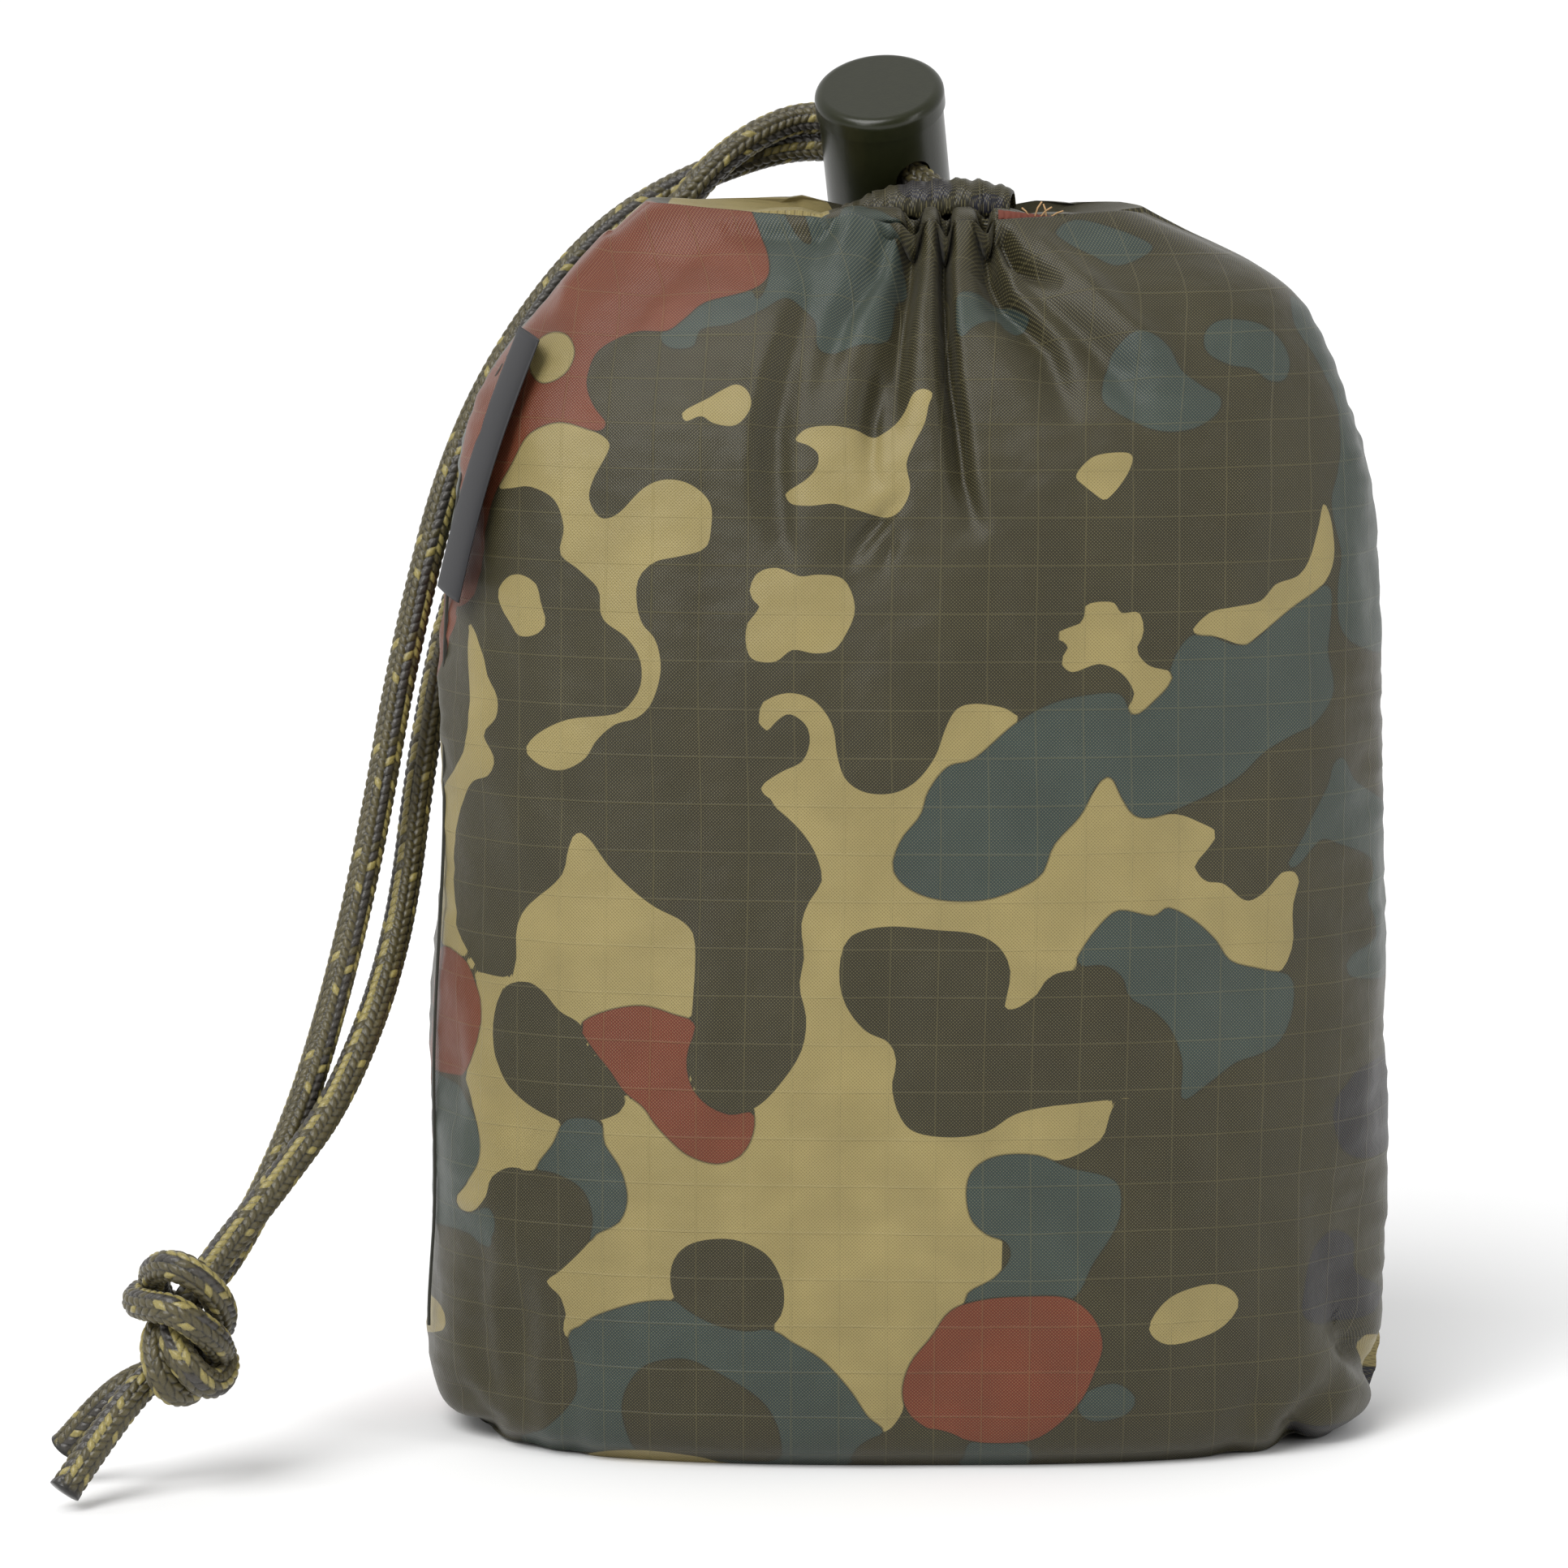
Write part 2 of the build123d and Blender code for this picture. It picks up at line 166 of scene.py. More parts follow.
# ---------------------------------------------------------------- cords
# The same corner points as the CAD strands, then the turns of the knot and the tail.
OUTER_ROUTE = [
    (12, 2.6, 156), (2.4, 8.2, 161.8), (-9.3, 27.5, 172.1), (-33, 23.5, 164.5),
    (-47, 15, 153), (-60, 9, 132), (-67, 2, 104), (-71, -5, 80),
    (-75.5, -12, 60), (-80.5, -22.5, 43.5), (-88, -34, 29),
]
OUTER_KNOT = [
    (-92.4, -41, 25.9), (-96.6, -44, 23), (-98.5, -47, 20.5), (-97.6, -49.5, 16.6),
    (-95.3, -48.8, 12.9), (-91.9, -44.5, 12.4), (-92.2, -39, 14.7), (-93.8, -36.5, 18.4),
    (-96.8, -36, 22.3), (-99.2, -38.5, 27), (-98.8, -44, 31), (-95.3, -49.3, 33.2),
    (-91, -51, 32.1), (-87.2, -48.5, 28.2), (-86.4, -42.5, 23), (-89.4, -39, 19),
    (-93.1, -39.5, 17.3), (-96.7, -42.5, 16.1), (-99.6, -45.5, 14), (-104.1, -49, 8.3),
    (-108.1, -52, 2.6),
]
INNER_ROUTE = [
    (11.5, 0, 159.5), (2, 6, 165.4), (-9.7, 25.3, 175.7), (-24.5, 20.5, 170),
    (-36, 17.5, 154.5), (-49, 19, 134), (-60.5, 16, 112), (-65, 7, 90),
    (-67.5, -5.5, 66), (-74, -21.5, 48.5), (-82, -31, 38.5), (-89.5, -38.5, 30),
]
INNER_KNOT = [
    (-93.2, -43.5, 25.3), (-95.8, -46.5, 22.5), (-94.3, -50, 20.1), (-91.5, -51.3, 16.6),
    (-88.4, -47.5, 13.4), (-86, -42.5, 15.4), (-88.3, -37.5, 18.1), (-92.5, -34.5, 20.7),
    (-96.9, -34, 23.4), (-101, -37.5, 26.5), (-102.2, -44, 26), (-98.1, -49.8, 26.5),
    (-94.4, -52.5, 26.7), (-90.3, -52.3, 24.2), (-87, -48, 20.7), (-87.4, -41, 16.8),
    (-90.3, -37, 14.8), (-94.5, -36.5, 14.5), (-98.5, -38.5, 14.7), (-102.2, -40, 13),
    (-106, -39.5, 9.2), (-109.4, -38.4, 5.1),
]
KNOT_MIDDLE = (-93.0, -43.5, 22.4)
KNOT_PULL = (0.72, 0.8, 0.83)
CORD_RADIUS = 2.0


def pulled_tight(points, turns):
    """The knot's turns drawn in towards its middle; the last points are the free tail."""
    return [
        tuple(m + (v - m) * k for v, m, k in zip(point, KNOT_MIDDLE, KNOT_PULL)) if i < turns else point
        for i, point in enumerate(points)
    ]


def spline_points(name, points, detail):
    """Points in mm along the NURBS curve that has these control points."""
    curve = bpy.data.curves.new(name, "CURVE")
    curve.dimensions = "3D"
    curve.resolution_u = detail
    spline = curve.splines.new("NURBS")
    spline.points.add(len(points) - 1)
    for point, place in zip(spline.points, points):
        point.co = (place[0] * MM, place[1] * MM, place[2] * MM, 1)
    spline.order_u = 3
    spline.use_endpoint_u = True
    holder = bpy.data.objects.new(name, curve)
    bpy.context.collection.objects.link(holder)
    mesh = bpy.data.meshes.new_from_object(holder)
    line = np.array([v.co[:] for v in mesh.vertices]) / MM
    bpy.data.objects.remove(holder)
    bpy.data.meshes.remove(mesh)
    return line


def resample(line, spacing):
    lengths = np.concatenate([[0], np.cumsum(np.linalg.norm(np.diff(line, axis=0), axis=1))])
    count = int(lengths[-1] / spacing) + 1
    where = np.linspace(0, lengths[-1], count)
    return np.stack([np.interp(where, lengths, line[:, k]) for k in range(3)], axis=1), where


def along_frames(line):
    """Tangents and two steady side directions along a line."""
    tangent = np.gradient(line, axis=0)
    tangent /= np.linalg.norm(tangent, axis=1)[:, None]
    side = np.zeros_like(line)
    current = np.cross(tangent[0], [0.0, 0.0, 1.0])
    for i, t in enumerate(tangent):
        current = current - t * np.dot(current, t)
        current /= np.linalg.norm(current)
        side[i] = current
    return tangent, side, np.cross(tangent, side)


BRAID_COLUMNS = 10
BRAID_PITCH = 1.3
TUBE_SIDES = 60


def braided_cord(name, control, phase):
    line = spline_points(name + "_path", control, 24)
    line, where = resample(line, 0.16)
    tangent, side, up = along_frames(line)
    angle = np.linspace(0, 2 * math.pi, TUBE_SIDES, endpoint=False)[None, :]
    along = where[:, None]
    turn = (angle / (2 * math.pi) + along * 0.0012 + phase) * BRAID_COLUMNS
    column = np.floor(turn)
    across = turn - column - 0.5
    slant = np.where(column % 2 == 0, 1.0, -1.0)
    brick = along / BRAID_PITCH + slant * across * 0.62 + 0.25 * slant
    index = np.floor(brick)
    part = brick - index - 0.5
    height = np.clip(1 - (2 * abs(part)) ** 3, 0, 1) ** 0.6 * np.clip(1 - (1.9 * abs(across)) ** 4, 0, 1)
    radius = CORD_RADIUS - 0.34 + 0.42 * height
    # heat-sealed end: the last millimetre flares slightly and is smooth
    to_end = np.clip((where[-1] - where) / 1.2, 0, 1)[:, None]
    radius = radius * to_end + (CORD_RADIUS + 0.15) * (1 - to_end)
    verts = line[:, None, :] + radius[:, :, None] * (
        np.cos(angle)[:, :, None] * side[:, None, :] + np.sin(angle)[:, :, None] * up[:, None, :]
    )
    rows = len(line)
    flat = verts.reshape(-1, 3)
    faces = grid_faces(rows, TUBE_SIDES).tolist()
    first = len(flat)
    flat = np.vstack([flat, line[:1], line[-1:] + tangent[-1:] * 0.25])
    for k in range(TUBE_SIDES):
        n = (k + 1) % TUBE_SIDES
        faces.append([first, n, k])
        faces.append([first + 1, (rows - 1) * TUBE_SIDES + k, (rows - 1) * TUBE_SIDES + n])
    obj = new_piece(name, flat, faces)
    kind = (column % BRAID_COLUMNS).astype(int)
    rng = np.random.RandomState(5)
    table = rng.uniform(0.35, 0.65, size=(BRAID_COLUMNS, 7))
    shade = table[kind, (index % 7).astype(int)]
    lucky = rng.uniform(size=(BRAID_COLUMNS, 11))[kind, (index % 11).astype(int)]
    gold = (np.isin(kind, (1, 6)) & (lucky < 0.6) | (lucky > 0.95)).astype(float)
    dark = (np.isin(kind, (2, 7)) & (lucky < 0.7)).astype(float) * (1 - gold)
    sealed = 1 - to_end * np.ones_like(angle)
    colour = np.ones((len(flat), 4))
    colour[: rows * TUBE_SIDES, 0] = (0.5 * gold + 0.5 - 0.5 * dark).ravel()
    # the green channel holds each pick's height, which the cord material uses to paint shade into the gaps
    # between picks
    colour[: rows * TUBE_SIDES, 1] = (height * (1 - sealed)).ravel()
    colour[: rows * TUBE_SIDES, 2] = shade.ravel()
    colour[-2:] = (0.5, 0.0, 0.3, 1)
    attr = obj.data.color_attributes.new("braid", "FLOAT_COLOR", "POINT")
    attr.data.foreach_set("color", colour.ravel())
    return obj, line, where[-1]


def cord_material():
    n = Nodes("braided_cord")
    braid = n.add("ShaderNodeVertexColor")
    braid.layer_name = "braid"
    split = n.add("ShaderNodeSeparateColor", Color=braid.outputs["Color"])
    kind, height, shade = split.outputs[0], split.outputs[1], split.outputs[2]
    base = n.mix(shade, srgb(50, 45, 24), srgb(90, 81, 46))
    base = n.mix(n.step(kind, 0.7, 0.8), base, srgb(140, 128, 72))
    base = n.mix(n.step(kind, 0.3, 0.2), base, srgb(56, 52, 46))
    strands = n.noise(5200, 1.0)
    base = n.mix(n.step(strands, 0.35, 0.65), n.mix(0.22, base, (0, 0, 0, 1)), base)
    # painted shade: the low gaps between yarn picks go near black; the sealed ends, with height 0, get the
    # same dark colour
    base = n.mix(n.step(height, 0.05, 0.75), srgb(14, 12, 7), base)
    n.put(n.bsdf.inputs["Base Color"], base)
    n.bsdf.inputs["Roughness"].default_value = 0.42
    n.bsdf.inputs["Specular IOR Level"].default_value = 0.55
    n.bsdf.inputs["Sheen Weight"].default_value = 0.15
    n.bsdf.inputs["Sheen Roughness"].default_value = 0.4
    n.put(n.bsdf.inputs["Normal"], n.bump(strands, 0.00006, 0.6))
    return n.mat


cord_mat = cord_material()
outer_cord, outer_line, outer_length = braided_cord(
    "cord_outer", OUTER_ROUTE + pulled_tight(OUTER_KNOT, 17), 0.10)
inner_cord, inner_line, inner_length = braided_cord(
    "cord_inner", INNER_ROUTE + pulled_tight(INNER_KNOT, 18), 0.32)
print("cord lengths mm", round(outer_length, 1), round(inner_length, 1))
for piece in (outer_cord, inner_cord):
    piece.data.materials.append(cord_mat)
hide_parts("strand_outer", "stopper_knot", "tail_front", "tip_front")
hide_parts("strand_inner", "tail_back", "tip_back")

# outlines of the printed patches on the front, in mm in the picture plane: x, height
PATCHES = [
    ("tan", [
        (-50, 132.9), (-46.2, 134.5), (-41.9, 133.4), (-40, 131.8), (-40.3, 129.7), (-42.1, 126.9),
        (-42.6, 124.2), (-40.8, 121.8), (-38.5, 122.4), (-35.4, 125.7), (-32.2, 126.9), (-28.9, 126.3),
        (-26.6, 123.9), (-26, 120.5), (-27.2, 117.7), (-30.6, 116.6), (-33.8, 115.9), (-35.6, 113.8),
        (-36.3, 110.7), (-35.4, 107.7), (-33.7, 105.5), (-33, 101.5), (-34, 97.2), (-36, 95.1),
        (-39.2, 94.2), (-41.4, 92.1), (-42.8, 89.7), (-45.7, 88.2), (-48.6, 88.6), (-50.6, 90.7),
        (-49.5, 92.9), (-45.2, 94.9), (-39, 95.6), (-36.7, 97.5), (-35.4, 100.1), (-35.4, 103.2),
        (-37.6, 105.9), (-40.6, 108.4), (-41.3, 112.2), (-43.5, 114.8), (-46.2, 117), (-45.9, 120.5),
        (-46.9, 124.2), (-50, 125.9), (-52.7, 125.7), (-54, 125.9), (-52.7, 129.1),
    ]),
    ("tan", [
        (-58.7, 107.5), (-56.8, 104.2), (-56, 101), (-54.7, 97.8), (-54.9, 95.1), (-56, 92.9),
        (-54.7, 89.7), (-55.3, 87.5), (-57.6, 86.7), (-59, 84.2), (-60.1, 79.4), (-60.7, 73.4),
        (-60.3, 67.5), (-58.7, 64.2), (-57, 61), (-59.8, 62.1), (-62.5, 65.3), (-63, 77.2),
        (-61.9, 83.7), (-60.7, 86.9), (-58.7, 90.7), (-58.1, 96.7),
    ]),
    ("tan", [
        (-19.8, 95.6), (-18.7, 97.5), (-16.2, 98.4), (-13.6, 98), (-11.4, 96.5), (-9.9, 93.8),
        (-9.5, 90), (-8.2, 86.9), (-5.4, 85.2), (-1.9, 85.1), (1.3, 86.7), (3.5, 90), (5.1, 94),
        (6.5, 96.4), (9.4, 97), (13, 96.4), (15.2, 95.2), (19.7, 93.4), (23, 83.7), (26.7, 87.5),
        (28.9, 84.2), (30.7, 82), (35.9, 82.2), (39.2, 81.2), (41.3, 79.7), (40.2, 77.2),
        (38.6, 75.3), (39.9, 73.3), (42.6, 72.9), (45.4, 70.7), (47.8, 71.8), (50, 74.5),
        (52.1, 74), (51.3, 69.7), (51.1, 64.8), (49.5, 61), (45.7, 59.4), (35.9, 59.4),
        (30.5, 55.6), (30.5, 45.9), (27.5, 43.1), (27.1, 41.5), (25.7, 38.8), (21.9, 36.4),
        (17.5, 35.9), (13.2, 35.1), (12.1, 17.8), (6.7, 15.6), (0.2, 9.1), (-0.8, 2.6), (-4.1, -0.1),
        (-12.7, 4.8), (-23.5, 12.4), (-38.7, 13.4), (-46.2, 11.8), (-45.5, 15.6), (-46.2, 18.3),
        (-47.8, 20.1), (-46.2, 21.5), (-42.5, 25.3), (-40.3, 28.6), (-45.2, 30.7), (-51.6, 35.1),
        (-54.9, 34), (-56, 31.3), (-57.6, 29.4), (-59.4, 29.7), (-60.1, 31.3), (-58.7, 32.9),
        (-57.6, 35.1), (-57, 39.4), (-58.1, 44.8), (-58.7, 48), (-57, 55.6), (-57.6, 61),
        (-52.5, 61), (-51.6, 68.6), (-46, 73.8), (-44.7, 77.8), (-43.2, 79.9), (-38.7, 76.1),
        (-28.9, 74), (-19.2, 82.6), (-18.3, 84.2), (-19.4, 85.9),
    ]),
    ("olive", [
        (-19.2, 84.2), (-17, 82.6), (-14.3, 80.2), (-12.5, 77.2), (-11.6, 73.4), (-13, 70.7),
        (-14.2, 67.5), (-13.8, 63.2), (-14.5, 59.4), (-13.2, 55.1), (-14, 50.7), (-16.8, 46.4),
        (-19.8, 43.2), (-23.5, 42.2), (-27, 43.7), (-28.9, 47.5), (-29.4, 51.3), (-28.4, 56.1),
        (-28.1, 64.8), (-29.8, 67.7), (-33.8, 69.9), (-37.4, 72.7), (-40.3, 75.9), (-42.8, 80.5),
        (-44.8, 83.7), (-43, 89.1), (-28.9, 93.4), (-23.5, 95.1), (-19.6, 94.2), (-18.6, 93.4),
        (-17.3, 94.9), (-15.5, 95.6), (-13.7, 94.2), (-12.9, 91.9), (-14, 89.3), (-16.4, 88),
        (-18.6, 86.7), (-19.4, 85.7),
    ]),
    ("olive", [
        (-8.4, 64.8), (-6.2, 66.6), (-1.9, 67.3), (3.5, 66.9), (8.9, 66.4), (11.9, 64.8), (13.8, 62.1),
        (13.8, 59.4), (13.2, 56.7), (14.8, 56.5), (17, 58.3), (18.6, 60.5), (21.9, 61.5),
        (30.5, 62.1), (35.9, 57.8), (36.5, 50.2), (35.9, 45.3), (32.7, 44.8), (27.3, 44.2),
        (23, 43.7), (18.6, 43.2), (14.3, 42.1), (10.5, 39.9), (5.7, 39.2), (1.3, 39.9), (-1, 42.1),
        (-1.9, 45.9), (-1.4, 49.1), (-2.5, 51.8), (-5.7, 53.4), (-7.9, 56.7), (-8.9, 60.5),
    ]),
    ("olive", [
        (-54.3, 58.3), (-52.7, 59.7), (-50, 59.9), (-47.9, 58.3), (-46.2, 56.1), (-43.5, 54.3),
        (-42.5, 51.3), (-39.8, 48), (-37.6, 44.8), (-38.1, 42.6), (-41.9, 41.3), (-46.2, 41.5),
        (-50.6, 43.7), (-53.8, 46.9), (-55.1, 51.3), (-54.9, 55.6),
    ]),
    ("slate", [
        (-1.9, 75.1), (-0.8, 78.8), (1.9, 82.1), (3, 85.3), (5.1, 88.6), (8.9, 89.7), (14.3, 94),
        (18.6, 96.7), (23, 98), (28.4, 98.3), (30.5, 95.6), (33.8, 98.8), (35.9, 104.2),
        (39.2, 106.4), (44.6, 104.8), (50, 108.6), (55.9, 112.9), (56.5, 108.6), (55.9, 104.2),
        (56.5, 98.8), (54.3, 94.5), (51.1, 92.9), (47.8, 90.7), (44.6, 87.5), (41.3, 85.3),
        (37, 83.2), (32.7, 81.8), (30.5, 82.1), (28.9, 84.2), (27.1, 87.2), (25.1, 85.9),
        (23, 82.1), (19.7, 78.3), (18.1, 74.5), (14.8, 72.4), (10, 70.9), (4.6, 70.9), (0.2, 72.4),
    ]),
    ("slate", [
        (56.5, 89.1), (58.1, 89.7), (59.7, 86.9), (61.9, 85.3), (64.2, 82.6), (65.3, 76.1),
        (65.3, 66.4), (64.2, 61), (59.7, 60.5), (59.2, 63.2), (61.9, 66.4), (60.8, 71.8),
        (61.9, 76.1), (57.5, 78.3), (54.8, 78.8), (52.1, 75.6), (50.5, 75.1), (52.1, 78.3),
        (54.3, 82.6), (55.9, 86.4),
    ]),
    ("slate", [
        (22.4, 62.1), (23.5, 64.8), (25.7, 67.5), (28.4, 69.4), (32.7, 68.6), (34.8, 69.7),
        (38.6, 68), (41.3, 65.3), (43.5, 62.6), (47.8, 61.5), (51.1, 60.5), (51.1, 55.6),
        (49.4, 51.8), (46.7, 50.2), (43.5, 49.1), (40.2, 46.4), (36.5, 44.2), (36.5, 49.1),
        (35.4, 53.4), (32.7, 56.1), (30, 57.8), (28.9, 60.5), (26.2, 62.1),
    ]),
    ("slate", [
        (8.9, 35.1), (12.1, 36.7), (17.5, 36.7), (21.9, 35.1), (26.2, 34), (28.4, 32.4),
        (28.4, 28.6), (26.7, 25.3), (24.6, 22.1), (23, 18.8), (20.8, 17.4), (15.4, 17.8),
        (10, 17.2), (7.8, 17.2), (8.4, 18.8), (11.6, 20.5), (13.5, 23.2), (13, 25.3), (10.5, 26.4),
        (8.4, 28.6), (8, 32.4),
    ]),
    ("slate", [
        (-64.6, 48), (-61.9, 46.9), (-58.7, 43.7), (-57, 39.4), (-57.5, 35.1), (-60.1, 30.9),
        (-58.7, 29.1), (-55.3, 29.9), (-54.7, 26.9), (-55.3, 25.3), (-53.3, 22.9), (-58.1, 25.3),
        (-64.8, 27.5),
    ]),
    ("slate", [
        (-49.5, 35.1), (-47.3, 38.3), (-45.7, 41.3), (-43, 41.8), (-40.8, 41), (-40.3, 38.3),
        (-38.1, 35.1), (-37.4, 31.3), (-38.1, 28), (-41.4, 26.4), (-42.5, 25.3), (-41.9, 28.6),
        (-43.5, 32.4), (-47.3, 34.3),
    ]),
    ("slate", [
        (-51.6, -1.2), (-47.3, 1), (-44.3, 5.3), (-45.2, 12.4), (-43.5, 14), (-40.8, 15.6),
        (-35.4, 17.2), (-30, 17.2), (-23.5, 14.5), (-18.1, 13.4), (-15.4, 11.8), (-11.6, 9.7),
        (-7.9, 5.9), (-5.2, 2.1), (-3, -0.1), (-6.2, -2.8), (-8.4, -4.7), (-17, -5.5),
        (-23.5, -5.2), (-25.7, -3.9), (-34.3, -2.8), (-40.8, -2.8), (-45.2, -3.3), (-50.6, -2.8),
    ]),
    ("olive", [
        (-55.4, 31.8), (-54.3, 34), (-51.6, 34.7), (-47.3, 34.5), (-43.5, 32.4), (-41.9, 28.6),
        (-42.8, 25.3), (-45.2, 22.6), (-47.9, 20.1), (-46.2, 17.8), (-45.7, 13.4), (-44.6, 9.1),
        (-44.3, 4.8), (-47.3, 1), (-50.6, -0.6), (-56, -1.2), (-60.3, 2.6), (-64.1, 6.9),
        (-64.6, 13.4), (-64.6, 26.4), (-60.3, 26.9), (-56, 24.2), (-54.7, 27.5),
    ]),
    ("olive", [
        (-31.6, 21), (-30.6, 23.7), (-27.9, 25.3), (-23.5, 25.5), (-19.2, 23.7), (-16.8, 20.5),
        (-16.2, 17.2), (-17.6, 14.5), (-20.8, 13.4), (-24.6, 14), (-28.4, 15.6), (-30.9, 17.8),
    ]),
    ("olive", [
        (-37.8, 3.7), (-37, 6.9), (-34.3, 9.1), (-30, 9.7), (-25.7, 8), (-20.8, 5.3),
        (-18.1, 2.6), (-16.8, -1.2), (-17.6, -3.9), (-23.5, -3.9), (-30, -3.3), (-35.4, -2.8),
        (-37.6, -0.1),
    ]),
    ("slate", [
        (27.8, 144.2), (30, 146.2), (32.7, 145.9), (34.8, 144.2), (36.5, 141.5), (39.2, 139.4),
        (41.7, 137.8), (41.3, 135.6), (38.1, 133.7), (33.8, 133.4), (29.4, 135.1), (26.4, 137.2),
        (26, 139.9), (27.1, 142.1),
    ]),
    ("slate", [
        (39.4, 145.9), (40.8, 147.7), (43.5, 148.2), (47.3, 147.3), (50, 144.8), (50.8, 142.1),
        (50, 140.1), (47.8, 139.9), (45.7, 141.5), (43, 142.1), (40.2, 143.7),
    ]),
    ("slate", [
        (51.1, 151.3), (54.3, 148.6), (57.5, 144.2), (59.7, 138.8), (61.9, 132.4), (63.5, 123.7),
        (64.6, 108.6), (63, 104.2), (58.6, 105.3), (57, 110.7), (57.5, 117.2), (56.5, 123.7),
        (57.5, 129.1), (57, 136.7), (54.3, 143.2), (51.6, 147.5),
    ]),
    ("slate", [
        (19.7, 159.4), (23, 159.9), (28.4, 159.4), (32.7, 157.8), (30.5, 156.1), (27.8, 155.5),
        (24.6, 156.7), (21.3, 158),
    ]),
    ("slate", [
        (6.5, 151.6), (8.9, 152.4), (11.9, 152.7), (15.6, 150.2), (16.2, 149.1), (14.8, 147.5),
        (13.2, 148), (12.4, 149.1), (8.9, 147.3), (7.4, 146), (6.5, 147.7),
    ]),
    ("slate", [
        (-21.4, 163.7), (-16, 162.8), (-15.4, 159.9), (-12.7, 159.4), (-8.9, 161), (-4.1, 162.4),
        (0.8, 161), (0, 156.1), (-1.4, 151.8), (-2.5, 146.4), (-6.2, 144.8), (-10, 144),
        (-11.9, 144.8), (-12.4, 148), (-14.3, 150.2), (-16.5, 150.7), (-19.2, 149.1), (-23.5, 147.5),
        (-27.3, 146.9), (-28.4, 144.7), (-31.6, 144.6), (-33, 146.6), (-30, 149.5), (-26.8, 152), (-22, 153),
        (-19.8, 150.7), (-18.3, 155.1), (-19.8, 159.4),
    ]),
    ("slate", [
        (22.4, 3.2), (24, 5.3), (27.3, 6.6), (30, 5.3), (30.5, 3.7), (28.4, 2.1), (24.6, 1.5),
    ]),
    ("slate", [
        (6.7, -3.9), (8.4, -1.7), (13.2, -1.5), (16.5, -2.2), (15.9, -4.7), (8.9, -5.2),
    ]),
    ("rust", [
        (-34.9, 165.2), (-27.9, 164.8), (-21.4, 164.1), (-19.5, 159.4), (-18.3, 155.1), (-19.2, 152.9),
        (-21.9, 151.6), (-26.8, 150.5), (-29.5, 148.6), (-32.2, 146.9), (-36, 146.9), (-39.2, 145.9),
        (-41.9, 143.7), (-42.8, 139.9), (-41.9, 136.7), (-40.3, 134.5), (-41.4, 133.4), (-46.2, 134.5),
        (-50, 132.9), (-52.5, 129.1), (-54, 125.9), (-55.4, 121.5), (-56.5, 116.1), (-58.7, 110.7),
        (-60.8, 110.5), (-62.7, 115.1), (-63, 121.5), (-61.4, 130.2), (-58.1, 141), (-52.7, 149.7),
        (-44.1, 159.4),
    ]),
    ("rust", [
        (-43.2, 54.3), (-39.8, 56.1), (-35.4, 56.7), (-31.1, 55.6), (-28.4, 54.3), (-29.2, 50.2),
        (-28.7, 46.4), (-26.8, 43.7), (-23.5, 42.2), (-20.8, 42.4), (-20.8, 39.4), (-22.2, 36.7),
        (-25.2, 35.6), (-28.9, 36.7), (-31.6, 38.8), (-33.5, 41), (-35.4, 43.2), (-37.6, 45.3),
        (-39.8, 48.2), (-42.2, 51.3),
    ]),
    ("rust", [
        (-0.5, 5.3), (0.2, 9.1), (3, 12.4), (5.7, 16.1), (9.4, 17.5), (15.4, 18.1), (20.8, 18),
        (24.6, 15.6), (26, 11.8), (25.1, 8), (23, 4.2), (20.2, 1), (16.5, -1.2), (11.1, -1.7),
        (7.3, -1.2), (3.5, -0.1), (0.5, 2.1),
    ]),
    ("rust", [
        (-62.2, 64.5), (-59.2, 63.2), (-57.6, 59.9), (-57, 55.6), (-57.9, 51.3), (-59.2, 48),
        (-61.4, 47.5), (-63.8, 50.2), (-63.8, 57.8),
    ]),
    ("tan", [
        (-54.7, 111.8), (-53.3, 113.8), (-51.1, 114.2), (-49.5, 112.9), (-48.6, 110.2), (-48.2, 107.7),
        (-49.5, 106.2), (-51.6, 106.1), (-52.9, 107.5), (-54, 109.7),
    ]),
    ("tan", [
        (-49.3, 145.9), (-47.3, 146.9), (-45.4, 146.2), (-44.5, 144), (-45.2, 141.5), (-47, 140.1),
        (-48.6, 139.7), (-50, 141), (-50.3, 143.7),
    ]),
    ("tan", [
        (-24.8, 138.8), (-23, 139.6), (-21.2, 138.8), (-20.8, 137), (-21.6, 135.1), (-23.5, 134.1),
        (-25.7, 134.5), (-27.6, 135.4), (-29.5, 134.7), (-30.2, 135.8), (-28.4, 136.9), (-26.6, 137.8),
    ]),
    ("tan", [
        (-14.9, 132.5), (-13.2, 133.8), (-9.9, 134.1), (-6.7, 133.6), (-4.2, 132.9), (-2, 134.3),
        (-0.2, 136.1), (0.8, 138.3), (2.1, 138.9), (3.2, 138.3), (3, 136.8), (2.1, 134.3),
        (0.8, 131.5), (0.1, 128.9), (0.3, 125.7), (-0.6, 123.2), (-2, 122), (-4.2, 122.1),
        (-7.4, 123.1), (-9.9, 123.7), (-12.8, 123.4), (-15.3, 123.6), (-16.1, 124.5), (-15.9, 125.3),
        (-13.5, 126.8), (-11.9, 128.6), (-11.9, 130.4), (-13.2, 131.5), (-14.6, 132),
    ]),
    ("tan", [
        (22.7, 127.2), (23.1, 128.6), (24.9, 130), (27.1, 130.5), (29.5, 130.5), (30.1, 129.7),
        (29.5, 127.9), (28.5, 126.1), (27.4, 124.7), (26, 124.2), (24.5, 125.3), (23.4, 126.1),
    ]),
    ("tan", [
        (-20.8, 112.4), (-19.8, 114.5), (-17.3, 115.1), (-14.3, 114), (-11.6, 114.2), (-8.9, 113.8),
        (-7.3, 111.8), (-7.1, 109.1), (-7.9, 106.4), (-9.5, 104.2), (-12.2, 103.7), (-15.4, 104.2),
        (-17.6, 102.6), (-20.3, 102.9), (-21.7, 104.8), (-21.2, 107.7), (-19.8, 109.7), (-20.5, 110.9),
    ]),
    ("tan", [
